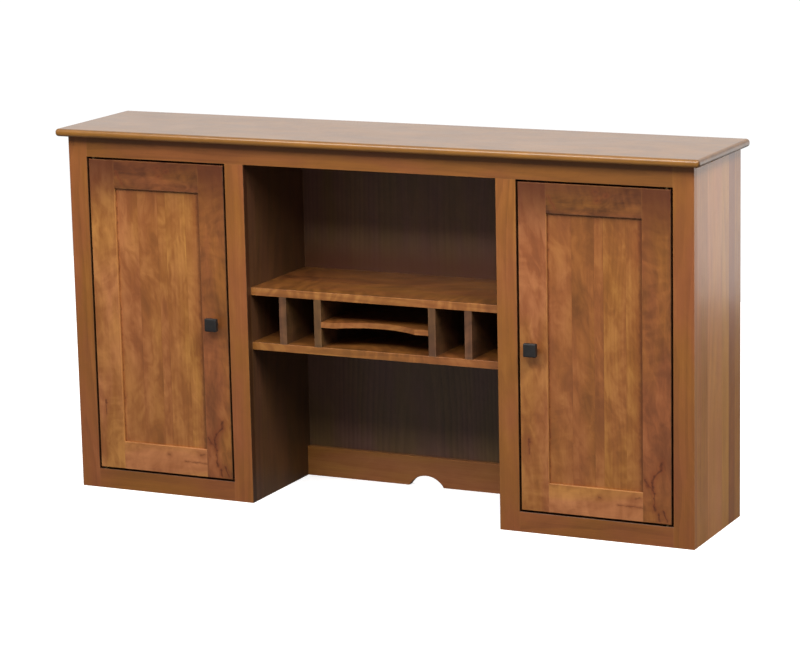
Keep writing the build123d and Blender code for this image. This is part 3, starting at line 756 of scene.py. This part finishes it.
@dataclass(frozen=True)
class HardwareFinish:
    """A metal or moulded finish, with brushing or stipple, patches of tarnish, and rubbed edges."""

    colour: Triple
    patch_colour: Triple
    worn_colour: Triple
    metallic: float = 1.0
    roughness: float = 0.35
    brushing: Triple = (900.0, 900.0, 900.0)
    relief: float = 0.00004
    patches: float = 0.5
    wear: float = 0.4
    wear_width: float = 0.0008

    def material(self, name: str, node: str) -> bpy.types.Material:
        """Make the finish for one node or piece.

        Args:
            name: The material's name.
            node: The node whose edges are rubbed.

        Returns:
            The material.
        """
        made = bpy.data.materials.new(name)
        made.use_nodes = True
        made.node_tree.nodes.clear()
        w = Wiring(made.node_tree)
        place = w.add("ShaderNodeTexCoord").outputs["Object"]
        low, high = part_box(node)
        edge = RubbedEdge.place(w, Vector=place, Low=low, High=high, Width=self.wear_width)
        sheen = HandledSheen.place(w, Vector=place)
        brushed = w.noise(place, self.brushing, 2.0, 0.6)
        patch = w.ease(w.noise(place, (120.0, 120.0, 90.0), 4.0, 0.6, 0.3), 0.42, 0.72)
        tarnish = w.math("MULTIPLY", patch, self.patches)
        worn = w.math("MULTIPLY", edge["Mask"], self.wear)
        colour = w.blend(tarnish, self.colour, self.patch_colour)
        colour = w.blend(w.ease(brushed, 0.35, 0.75, 0.0, 0.25), colour, self.worn_colour)
        colour = w.blend(worn, colour, self.worn_colour)
        bump = w.add("ShaderNodeBump", {
            "Height": w.weigh((brushed, 1.0), (patch, 0.3)), "Strength": 0.7, "Distance": self.relief,
        })
        shader = w.add("ShaderNodeBsdfPrincipled", {
            "Base Color": colour,
            "Roughness": w.weigh((sheen["Change"], 0.12), (tarnish, 0.16), (worn, -0.08),
                                 (1.0, self.roughness - 0.06)),
            "Metallic": self.metallic,
            "Normal": bump.outputs["Normal"],
        })
        w.add("ShaderNodeOutputMaterial", {"Surface": shader.outputs["BSDF"]})
        return made


AGED_BRASS = HardwareFinish((0.22, 0.14, 0.06), (0.07, 0.045, 0.022), (0.42, 0.30, 0.14), roughness=0.42)
ZINC = HardwareFinish((0.60, 0.62, 0.64), (0.36, 0.37, 0.40), (0.80, 0.80, 0.80), roughness=0.38)
NICKEL = HardwareFinish((0.66, 0.63, 0.58), (0.44, 0.41, 0.37), (0.84, 0.82, 0.78), roughness=0.26)
CATCH_BROWN = HardwareFinish(
    (0.055, 0.028, 0.016), (0.038, 0.020, 0.012), (0.12, 0.07, 0.045), metallic=0.0, roughness=0.48,
    brushing=(1500.0, 1500.0, 1500.0), relief=0.00006, patches=0.4, wear=0.3,
)
KNOB_BLACK = HardwareFinish(
    (0.013, 0.012, 0.012), (0.022, 0.018, 0.016), (0.075, 0.066, 0.060), metallic=0.2, roughness=0.46,
    brushing=(1300.0, 1300.0, 1300.0), relief=0.00010, patches=0.6, wear=0.5, wear_width=0.0011,
)

TOP_TIMBER = TimberFinish(
    golden=(1.0, 1.20, 0.62), stave_width=0.075, stave_tone=0.12, tone=0.38, roughness=0.34, coat=0.36,
)
FRAME_TIMBER = TimberFinish(
    fibre=0.40, figure=0.08, curl=0.1, rings=0.10, tone=0.49, coat=0.16, edge_wear=0.08,
)
SIDE_TIMBER = TimberFinish(
    stave_width=0.062, stave_tone=0.36, figure=0.10, tone=0.61, roughness=0.31, coat=0.16,
    coat_roughness=0.13, edge_wear=0.12,
)
DOOR_TIMBER = TimberFinish(
    fibre=0.22, figure=0.38, curl=0.35, rings=0.05, tone=0.53, coat=0.22, edge_wear=0.10,
)
PANEL_TIMBER = TimberFinish(
    stave_tone=0.22, fibre=0.26, figure=0.34, curl=0.25, rings=0.06, tone=0.53, coat=0.22, edge_wear=0.0,
)
# A darker copy of the wood for the boards inside the bay and the cupboards: painted shade for the inside
SHADED_INNER_TIMBER = TimberFinish(
    dark=(0.026, 0.013, 0.007), middle=(0.150, 0.066, 0.024), light=(0.36, 0.18, 0.07), stave_width=0.085,
    stave_tone=0.12, figure=0.08, tone=0.30, coat=0.1, edge_wear=0.1,
)
SHELF_TIMBER = TimberFinish(
    golden=(1.02, 1.10, 0.82), reddish=(1.0, 0.95, 0.95), fibre=0.34, figure=0.26, curl=0.9, tone=0.36,
    rings=0.12, painted_front_light=0.22, edge_wear=0.1,
)
DIVIDER_TIMBER = replace(
    SHELF_TIMBER, dark=(0.030, 0.014, 0.007), middle=(0.170, 0.078, 0.031), light=(0.40, 0.21, 0.10),
    tone=0.24, painted_front_light=0.12, reddish=(1.02, 0.93, 1.02),
)
# The back panel's plywood, dark partly as painted shade for the back of the bay
PLYWOOD = TimberFinish(
    dark=(0.038, 0.022, 0.013), middle=(0.155, 0.084, 0.047), light=(0.30, 0.17, 0.10), fibre=0.34,
    figure=0.10, rings=0.12, ring_spacing=0.011, coat=0.1, plies=True, edge_wear=0.1,
)

# Painted shade, near black, on the edges of frames and doors that look into a door gap
SHADED_GAP_LEFT = PaintedFacingLight((-1.0, 0.0, 0.0), -0.84)
SHADED_GAP_RIGHT = PaintedFacingLight((1.0, 0.0, 0.0), -0.84)
SHADED_GAP_ABOVE = PaintedFacingLight((0.0, 0.0, 1.0), -0.84)
SHADED_GAP_BELOW = PaintedFacingLight((0.0, 0.0, -1.0), -0.84)
# Painted light: faces made lighter where the lamps fall on them, on a door stile's inner edge, the outer
# stiles' outer edges and the slab's front
LIT_RIGHT = PaintedFacingLight((1.0, 0.0, 0.0), 0.45)
PAINTED_LIGHT_LEFT = PaintedFacingLight((-1.0, 0.0, 0.0), 0.22)
PAINTED_LIGHT_RIGHT = PaintedFacingLight((1.0, 0.0, 0.0), 0.22)
LIT_FRONT = PaintedFacingLight((0.0, -1.0, 0.0), 0.08)


# ---- Mesh helpers ----

class Piece:
    """Turns a bmesh into a finished object that rides on a body."""

    @staticmethod
    def finish(name: str, mesh: bmesh.types.BMesh, body: str, slot: str, material: bpy.types.Material,
               smooth_angle: float = 32.0) -> bpy.types.Object:
        """Args:
            name: The piece's name.
            mesh: Its shape, in place.
            body: The body it rides on.
            slot: The record's material slot. Not used.
            material: Its finish.
            smooth_angle: Edges sharper than this stay crisp, in degrees.

        Returns:
            The object.
        """
        data = bpy.data.meshes.new(name)
        mesh.to_mesh(data)
        mesh.free()
        data.polygons.foreach_set("use_smooth", [True] * len(data.polygons))
        data.set_sharp_from_angle(angle=math.radians(smooth_angle))
        data.materials.append(material)
        made = bpy.data.objects.new(name, data)
        bpy.context.scene.collection.objects.link(made)
        weighted = made.modifiers.new("even_normals", "WEIGHTED_NORMAL")
        weighted.keep_sharp = True
        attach(made, body)
        LOG.info("%s: %d faces, on %s", name, len(data.polygons), body)
        return made

    @staticmethod
    def block(mesh: bmesh.types.BMesh, low: Vector, high: Vector) -> list[bmesh.types.BMVert]:
        """Add a squared block.

        Args:
            mesh: Where it goes.
            low: Its lowest corner.
            high: Its highest corner.

        Returns:
            Its vertices.
        """
        place = Matrix.Translation((low + high) / 2) @ Matrix.Diagonal((*(high - low), 1.0))
        return bmesh.ops.create_cube(mesh, size=1.0, matrix=place)["verts"]

    @staticmethod
    def round_over(mesh: bmesh.types.BMesh, edges: Iterable[bmesh.types.BMEdge], radius: float,
                   segments: int) -> None:
        """Round edges over.

        Args:
            mesh: The mesh that they are in.
            edges: The edges.
            radius: The radius in metres.
            segments: How many flats make the curve.
        """
        bmesh.ops.bevel(mesh, geom=list(edges), offset=radius, segments=segments, profile=0.5,
                        affect="EDGES", material=-1, clamp_overlap=True)


# ---- Sub-assemblies ----

@dataclass
class SlabTop:
    """The slab over the whole hutch, rounded at the front and both ends."""

    node: str = "top_slab"
    rounding: float = 8.5 * MM
    rounding_steps: int = 6
    back_ease: float = 1.5 * MM
    back_ease_steps: int = 2
    # Painted light on the slab's front faces
    board: Board = field(default_factory=lambda: Board(
        "top_slab", Grain.X, 3.0, hue=-0.8, painted_facing_light=(LIT_FRONT,), pith=(0.0, 0.12, 0.0),
    ))

    def build(self) -> None:
        """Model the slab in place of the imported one."""
        low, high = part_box(self.node)
        mesh = bmesh.new()
        Piece.block(mesh, low, high)
        rear = [e for e in mesh.edges if all(v.co.y > high.y - MM for v in e.verts)]
        rounded = [e for e in mesh.edges if e not in rear]
        Piece.round_over(mesh, rounded, self.rounding, self.rounding_steps)
        rear = [e for e in mesh.edges
                if all(v.co.y > high.y - MM / 10 for v in e.verts) and len(e.link_faces) == 2
                and e.calc_face_angle(0.0) > math.radians(60)]
        Piece.round_over(mesh, rear, self.back_ease, self.back_ease_steps)
        bmesh.ops.recalc_face_normals(mesh, faces=mesh.faces)
        made = Piece.finish("slab_top", mesh, "root", "top_wood", TOP_TIMBER.material(self.board, "top_wood"))
        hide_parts(self.node)


@dataclass
class SquareKnob:
    """A square black knob with a softly raised face, on a necked round stem."""

    side: str
    corner: float = 2.4 * MM
    corner_steps: int = 4
    face_border: float = 3.0 * MM
    face_raise: float = 0.6 * MM
    head_thick: float = 13 * MM
    neck_radius: float = 6.2 * MM
    foot_radius: float = 9.0 * MM
    steps: int = 40
    smooth_angle: float = 26.0

    def build(self) -> None:
        """Model the head and the stem, and set them on the door."""
        node = f"{self.side}_knob"
        low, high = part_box(node)
        mesh = bmesh.new()
        front = low.y + self.face_raise
        Piece.block(mesh, Vector((low.x, front, low.z)), Vector((high.x, low.y + self.head_thick, high.z)))
        Piece.round_over(mesh, mesh.edges, self.corner, self.corner_steps)
        bmesh.ops.recalc_face_normals(mesh, faces=mesh.faces)
        face = min(mesh.faces, key=lambda f: f.calc_center_median().y)
        bmesh.ops.inset_individual(mesh, faces=[face], thickness=self.face_border)
        for vertex in face.verts:
            vertex.co.y -= self.face_raise
        self._add_stem(mesh, Vector(((low.x + high.x) / 2, high.y, (low.z + high.z) / 2)),
                       high.y - low.y - self.head_thick)
        material = KNOB_BLACK.material(f"{node}_black", node)
        made = Piece.finish(
            f"{self.side}_square_knob", mesh, f"{self.side}_door", "black_knob", material, self.smooth_angle,
        )
        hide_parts(node)

    def _add_stem(self, mesh: bmesh.types.BMesh, foot: Vector, length: float) -> None:
        """Spin the stem's outline round its axis.

        Args:
            mesh: Where it goes.
            foot: The middle of its foot, on the door.
            length: How far it stands out to the head.
        """
        outline = [(0.0, 0.0), (self.foot_radius, 0.0), (self.foot_radius, 0.10),
                   (self.foot_radius * 0.93, 0.17), (self.neck_radius, 0.30),
                   (self.neck_radius * 0.95, 0.55), (self.neck_radius * 1.12, 0.80),
                   (self.neck_radius * 1.45, 1.0), (0.0, 1.0)]
        points = [mesh.verts.new(foot + Vector((radius, -share * length, 0.0))) for radius, share in outline]
        edges = [mesh.edges.new(pair) for pair in zip(points, points[1:])]
        bmesh.ops.spin(mesh, geom=points + edges, cent=foot, axis=(0, 1, 0), angle=math.tau,
                       steps=self.steps, use_merge=True)
        stem = [v for v in mesh.verts if (v.co - foot).xz.length < self.foot_radius * 1.2
                and v.co.y > foot.y - length - MM / 10]
        bmesh.ops.remove_doubles(mesh, verts=stem, dist=MM / 100)
        bmesh.ops.recalc_face_normals(mesh, faces=mesh.faces)


@dataclass
class BackNails:
    """The small nails that hold the back panel to the sides, partitions and cleat."""

    radius: float = 1.7 * MM
    stand: float = 0.35 * MM
    inset: float = 5.0 * MM
    pitch: float = 148 * MM
    crown: float = 0.7
    flats: int = 10

    def build(self) -> None:
        """Set a row of nail heads along each edge and partition."""
        low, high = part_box("back_panel")
        columns = [low.x + self.inset, high.x - self.inset]
        for side in SIDES:
            inner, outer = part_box(f"{side}_partition")
            columns.append((inner.x + outer.x) / 2)
        count = int((high.z - low.z) / self.pitch)
        spots = [(x, low.z + (n + 0.5) * (high.z - low.z) / count) for x in columns for n in range(count)]
        row = int((high.x - low.x) / self.pitch)
        spots += [(low.x + (n + 0.5) * (high.x - low.x) / row, high.z - self.inset) for n in range(row)]
        mesh = bmesh.new()
        for x, z in spots:
            place = Matrix.Translation((x, high.y, z)) @ Matrix.Rotation(math.radians(-90), 4, "X")
            bmesh.ops.create_cone(mesh, cap_ends=True, segments=self.flats, radius1=self.radius,
                                  radius2=self.radius * self.crown, depth=2 * self.stand, matrix=place)
        Piece.finish("back_nails", mesh, "root", "zinc_screw", ZINC.material("nail_steel", "back_panel"))


@dataclass
class Case:
    """The fixed case: frame, ends, partitions, floors, back and cleats."""

    frame_tones: dict[str, float] = field(default_factory=lambda: {
        "outer_stile": -0.02, "inner_stile": -0.02, "bottom_rail": -0.06,
    })
    # Painted shade: a soft dark band across the back panel a little above its middle, darkening the back of
    # the bay; it goes through to the panel's rear face as well
    back_painted_shade: StreakOrShade = StreakOrShade((-0.31, 0.105), (0.33, 0.105), width=0.060, depth=0.75, halo=0.0)

    def dress(self) -> None:
        """Give each board of the case its finish."""
        for index, side in enumerate(SIDES):
            seed = 11.0 + 7.0 * index
            # Painted shade on the stile and rail edges that look into the door gaps, and painted light on the
            # outer stiles' outer edges
            outer = (SHADED_GAP_RIGHT, PAINTED_LIGHT_LEFT) if side == "left" else (SHADED_GAP_LEFT, PAINTED_LIGHT_RIGHT)
            painted_faces = {"outer_stile": outer, "inner_stile": (SHADED_GAP_LEFT, SHADED_GAP_RIGHT), "bottom_rail": (SHADED_GAP_ABOVE,)}
            for step, (name, tone) in enumerate(self.frame_tones.items()):
                grain = Grain.X if name == "bottom_rail" else Grain.Z
                board = Board(f"{side}_{name}", grain, seed + step, tone, painted_facing_light=painted_faces[name])
                dress_board(board, FRAME_TIMBER)
            dress_board(Board(f"{side}_side_panel", Grain.Z_EDGE, seed + 3.3, hue=-0.2), SIDE_TIMBER)
            dress_board(Board(f"{side}_partition", Grain.Z_EDGE, seed + 4.1), SHADED_INNER_TIMBER)
            for step, name in enumerate(("cabinet_floor", "cabinet_cleat", "lower_shelf", "upper_shelf")):
                dress_board(Board(f"{side}_{name}", Grain.X_EDGE, seed + 5.0 + step), SHADED_INNER_TIMBER)
        dress_board(Board("face_top_rail", Grain.X, 5.0, -0.11, -0.3, painted_facing_light=(SHADED_GAP_BELOW,)), FRAME_TIMBER)
        dress_board(Board("back_rail", Grain.X, 6.0, 0.17), FRAME_TIMBER)
        dress_board(Board("back_panel", Grain.Z, 7.0, streaks=(self.back_painted_shade,)), PLYWOOD)
        for step, name in enumerate(("bay_front_cleat", "bay_rear_cleat")):
            dress_board(Board(name, Grain.X_EDGE, 8.0 + step), SHADED_INNER_TIMBER)


@dataclass
class Organiser:
    """The letter organiser across the bay: two shelves, four dividers and a thin scooped shelf."""

    # The lower organiser shelf is set darker as painted shade, for the deeper shade it lies in
    shelf_tones: dict[str, float] = field(default_factory=lambda: {
        "organizer_upper_shelf": -0.06, "organizer_lower_shelf": -0.12, "letter_shelf": -0.06,
    })

    def dress(self) -> None:
        """Give each board of the organiser its finish."""
        for step, (name, tone) in enumerate(self.shelf_tones.items()):
            dress_board(Board(name, Grain.X_EDGE, 31.0 + 1.7 * step, tone), SHELF_TIMBER)
        for step in range(1, 5):
            dress_board(Board(f"divider_{step}", Grain.Z_EDGE, 40.0 + 1.3 * step, hue=0.15), DIVIDER_TIMBER)


@dataclass(frozen=True)
class DoorTones:
    """How much lighter or darker each board of one door is than the finish."""

    left_stile: float
    right_stile: float
    top_rail: float
    bottom_rail: float
    panel: float


@dataclass
class Door:
    """One framed door. Its boards are given one by one: a clouded left stile and a streaked right one."""

    side: str
    # Painted shade: soft dark bands across the tops of the stiles and along the top edge of the top rail,
    # darkening the tops of the doors
    stile_top_painted_shade: StreakOrShade = StreakOrShade((-0.035, 0.392), (0.035, 0.388), width=0.130, depth=0.88, halo=0.0)
    rail_top_painted_shade: StreakOrShade = StreakOrShade((-0.036, -0.13), (-0.034, 0.13), width=0.040, depth=0.56, halo=0.0)
    left_knot: tuple[StreakOrShade, ...] = (
        StreakOrShade((-0.014, -0.218), (-0.013, -0.223), 0.0039),
        StreakOrShade((-0.013, -0.223), (-0.014, -0.252), 0.0016, 0.6),
    )
    right_streaks: tuple[StreakOrShade, ...] = (
        StreakOrShade((0.012, -0.245), (0.009, -0.262), 0.0042), StreakOrShade((0.009, -0.262), (-0.007, -0.279), 0.0029),
        StreakOrShade((-0.007, -0.279), (-0.012, -0.293), 0.0039),
        StreakOrShade((-0.012, -0.293), (-0.008, -0.318), 0.0023),
        StreakOrShade((-0.008, -0.318), (-0.006, -0.352), 0.0016),
        StreakOrShade((-0.006, -0.352), (-0.005, -0.357), 0.0046),
        StreakOrShade((-0.029, -0.288), (-0.023, -0.304), 0.0023),
        StreakOrShade((-0.022, -0.302), (-0.010, -0.312), 0.0018, 0.6),
        StreakOrShade((0.016, -0.360), (0.024, -0.384), 0.0026), StreakOrShade((0.003, -0.367), (0.005, -0.383), 0.0026),
    )
    top_knots: tuple[StreakOrShade, ...] = (
        StreakOrShade((0.000, 0.007), (-0.002, 0.011), 0.0036, 0.6),
        StreakOrShade((-0.021, 0.002), (-0.022, 0.006), 0.0034, 0.6),
        StreakOrShade((-0.012, 0.028), (-0.014, 0.033), 0.0026, 0.4),
        StreakOrShade((0.022, -0.095), (-0.006, -0.112), 0.0018, 0.35),
    )
    bottom_marks: tuple[StreakOrShade, ...] = (
        StreakOrShade((0.000, 0.055), (0.001, 0.118), 0.0016, 0.45),
        StreakOrShade((-0.019, 0.098), (-0.022, 0.109), 0.0039, 0.45),
        StreakOrShade((-0.014, 0.008), (-0.013, 0.012), 0.0031, 0.4),
    )
    panel_staves: tuple[Stave, ...] = (
        Stave(0.0, 0.62, 0.70), Stave(0.27, 0.28, 0.55), Stave(0.49, 0.52, 0.50), Stave(0.58, 0.72, 0.15),
        Stave(0.80, 0.85, 0.05),
    )
    # Painted shade on the recessed panel: a band along its right edge and a thin line along its left edge,
    # where the stiles shade it, and a soft band along its top under the top rail
    panel_painted_shade: tuple[StreakOrShade, ...] = (
        StreakOrShade((0.1145, -0.34), (0.1135, 0.31), 0.0075, 0.55),
        StreakOrShade((-0.1165, -0.34), (-0.1165, 0.31), 0.0014, 0.6),
        StreakOrShade((-0.1100, 0.33), (0.1100, 0.33), width=0.0700, depth=0.32, halo=0.0),
    )
    # The top rails are set dark to carry the painted shade over the tops of the doors
    left_door_tones: DoorTones = DoorTones(
        left_stile=0.15, right_stile=-0.12, top_rail=-0.27, bottom_rail=0.20, panel=0.04,
    )
    right_door_tones: DoorTones = DoorTones(
        left_stile=0.03, right_stile=-0.10, top_rail=-0.36, bottom_rail=0.19, panel=-0.05,
    )

    def dress(self) -> None:
        """Give the door's frame and panel their finishes."""
        own = -1.1 if self.side == "left" else 0.4
        tones = self.left_door_tones if self.side == "left" else self.right_door_tones
        left, right = ("hinge", "free") if self.side == "left" else ("free", "hinge")
        # Painted shade on the door edges in the gaps, and painted light on the left stile's inner edge
        boards = (
            Board(f"{self.side}_door_{left}_stile", Grain.Z, 50.3 + own, tones.left_stile, 0.3,
                  (*self.left_knot, self.stile_top_painted_shade), painted_facing_light=(SHADED_GAP_LEFT, LIT_RIGHT)),
            Board(f"{self.side}_door_{right}_stile", Grain.Z, 53.1 + own, tones.right_stile, 0.15,
                  (*self.right_streaks, self.stile_top_painted_shade), painted_facing_light=(SHADED_GAP_RIGHT,)),
            Board(f"{self.side}_door_top_rail", Grain.X, 55.7 + own, tones.top_rail, 0.0,
                  (*self.top_knots, self.rail_top_painted_shade)),
            Board(f"{self.side}_door_bottom_rail", Grain.X, 58.9 + own, tones.bottom_rail, 0.35,
                  self.bottom_marks),
        )
        for board in boards:
            dress_board(board, DOOR_TIMBER)
        panel = Board(f"{self.side}_door_panel", Grain.Z, 61.0 + own, tones.panel, 0.0, self.panel_painted_shade,
                      self.panel_staves)
        dress_board(panel, PANEL_TIMBER)


@dataclass
class Fittings:
    """The hinges, screws, shelf pins, catches and strike plates."""

    brass: tuple[str, ...] = ("frame_leaves", "door_leaves", "door_leaf_screws")
    zinc: tuple[str, ...] = ("strike_plate", "knob_screw")

    def dress(self) -> None:
        """Give every metal and moulded node its finish."""
        for side in SIDES:
            for name in self.brass:
                dress_hardware(f"{side}_{name}", AGED_BRASS)
            for name in self.zinc:
                dress_hardware(f"{side}_{name}", ZINC)
            dress_hardware(f"{side}_catch", CATCH_BROWN)
        dress_hardware("frame_leaf_screws", AGED_BRASS)
        dress_hardware("slab_screws", ZINC)
        dress_hardware("catch_screws", ZINC)
        dress_hardware("shelf_pins", NICKEL)


def paint(node: str, material: bpy.types.Material) -> None:
    """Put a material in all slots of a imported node.

    Args:
        node: The node's name.
        material: Its finish.
    """
    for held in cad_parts[node].material_slots:
        held.material = material
    LOG.info("%s: %s", node, material.name)


def dress_board(board: Board, finish: TimberFinish) -> None:
    """Finish one wooden node."""
    paint(board.node, finish.material(board))


def dress_hardware(node: str, finish: HardwareFinish) -> None:
    """Finish one node of metal or moulded plastic."""
    paint(node, finish.material(f"{node}_finish", node))


# ---- Studio ----

@dataclass
class ViewPoint:
    """The camera, by its place, turn and lens."""

    place: Triple = (3.1249, -6.4574, 1.9414)
    turn: Triple = (78.025, 1.228, 25.495)
    lens: float = 136.412

    def build(self) -> None:
        """Make the camera and give it to the scene."""
        data = bpy.data.cameras.new("studio_camera")
        data.lens = self.lens
        data.sensor_width = 36.0
        data.clip_start, data.clip_end = 0.05, 100.0
        made = bpy.data.objects.new("studio_camera", data)
        made.location = self.place
        made.rotation_euler = [math.radians(angle) for angle in self.turn]
        bpy.context.scene.collection.objects.link(made)
        bpy.context.scene.camera = made
        LOG.info("camera at %s", self.place)


@dataclass(frozen=True)
class SoftLight:
    """A rectangular soft light, placed by direction and distance from what it aims at."""

    name: str
    azimuth: float
    elevation: float
    distance: float
    size: tuple[float, float]
    power: float
    aim: Triple = (0.0, 0.0, 0.5)

    def build(self) -> None:
        """Hang the light. Azimuth 0 is straight in front, and grows to the right as seen from there."""
        a, e = math.radians(self.azimuth), math.radians(self.elevation)
        away = Vector((math.sin(a) * math.cos(e), -math.cos(a) * math.cos(e), math.sin(e)))
        data = bpy.data.lights.new(self.name, "AREA")
        data.shape = "RECTANGLE"
        data.size, data.size_y = self.size
        data.energy = self.power
        made = bpy.data.objects.new(self.name, data)
        made.location = Vector(self.aim) + away * self.distance
        made.rotation_euler = away.to_track_quat("Z", "Y").to_euler()
        bpy.context.scene.collection.objects.link(made)
        LOG.info("light %s", self.name)


@dataclass
class Studio:
    """A pale floor, a bright wall behind, a dim room in front, and soft lights."""

    floor_front: float = -7.0
    floor_back: float = 2.6
    floor_half_width: float = 5.0
    floor_seen: float = 0.80
    floor_lift: float = 0.62
    floor_bounce: float = 0.15
    backdrop: float = 1.03
    behind: float = 0.95
    before: float = 0.20
    glow: float = 0.62
    glow_toward: Triple = (0.44, 0.87, -0.17)
    lights: tuple[SoftLight, ...] = (
        SoftLight("overhead", -4.0, 45.0, 2.7, (3.2, 0.9), 81.0),
        SoftLight("right_key", 58.0, 46.0, 6.0, (1.6, 1.6), 205.0),
    )

    def build(self) -> None:
        """Make the floor, the surroundings and the lights."""
        self._floor()
        self._room()
        for light in self.lights:
            light.build()
        bpy.context.scene.view_settings.view_transform = "Standard"

    def _floor(self) -> None:
        """Lay the stage's floor."""
        mesh = bmesh.new()
        bmesh.ops.create_grid(mesh, x_segments=4, y_segments=4, size=1.0)
        stretch = Matrix.Diagonal((self.floor_half_width, (self.floor_back - self.floor_front) / 2, 1.0, 1.0))
        place = Matrix.Translation((0.0, (self.floor_back + self.floor_front) / 2, 0.0))
        bmesh.ops.transform(mesh, matrix=place @ stretch, verts=mesh.verts)
        data = bpy.data.meshes.new("studio_floor")
        mesh.to_mesh(data)
        mesh.free()
        material = bpy.data.materials.new("pale_floor")
        material.use_nodes = True
        material.node_tree.nodes.clear()
        w = Wiring(material.node_tree)
        seen = w.add("ShaderNodeLightPath").outputs["Is Camera Ray"]
        tone = w.math("MULTIPLY_ADD", seen, self.floor_seen - self.floor_bounce, self.floor_bounce)
        grey = w.add("ShaderNodeCombineColor", {"Red": tone, "Green": tone, "Blue": tone}).outputs[0]
        shader = w.add("ShaderNodeBsdfPrincipled", {
            "Base Color": grey,
            "Roughness": 0.9,
            "Specular IOR Level": 0.0,
            "Emission Color": (1.0, 1.0, 1.0),
            "Emission Strength": w.math("MULTIPLY", seen, self.floor_lift),
        })
        w.add("ShaderNodeOutputMaterial", {"Surface": shader.outputs["BSDF"]})
        data.materials.append(material)
        made = bpy.data.objects.new("studio_floor", data)
        bpy.context.scene.collection.objects.link(made)

    def _room(self) -> None:
        """Light the room: bright behind the hutch, brightest at the right rear, and dim in front."""
        world = bpy.data.worlds.new("studio_room")
        world.use_nodes = True
        world.node_tree.nodes.clear()
        w = Wiring(world.node_tree)
        toward = w.add("ShaderNodeTexCoord").outputs["Generated"]
        back = w.add("ShaderNodeSeparateXYZ", {"Vector": toward}).outputs["Y"]
        wall = w.ease(back, -0.25, 0.30, self.before, self.behind)
        middle = Vector(self.glow_toward).normalized()
        nearness = w.vector("DOT_PRODUCT", w.vector("NORMALIZE", toward), middle)
        lit = w.math("ADD", wall, w.ease(nearness, 0.93, 0.99, 0.0, self.glow))
        seen = w.add("ShaderNodeLightPath").outputs["Is Camera Ray"]
        strength = w.math("MAXIMUM", lit, w.math("MULTIPLY", seen, self.backdrop))
        shine = w.add("ShaderNodeBackground", {"Color": (1.0, 1.0, 1.0), "Strength": strength})
        w.add("ShaderNodeOutputWorld", {"Surface": shine.outputs["Background"]})
        bpy.context.scene.world = world


def main() -> None:
    """Build the camera, the sub-assemblies and the studio, in order."""
    logging.basicConfig(level=logging.INFO, format="%(message)s")
    ViewPoint().build()
    Case().dress()
    SlabTop().build()
    Organiser().dress()
    for side in SIDES:
        Door(side).dress()
        SquareKnob(side).build()
    Fittings().dress()
    BackNails().build()
    Studio().build()


if __name__ == "__main__":
    main()
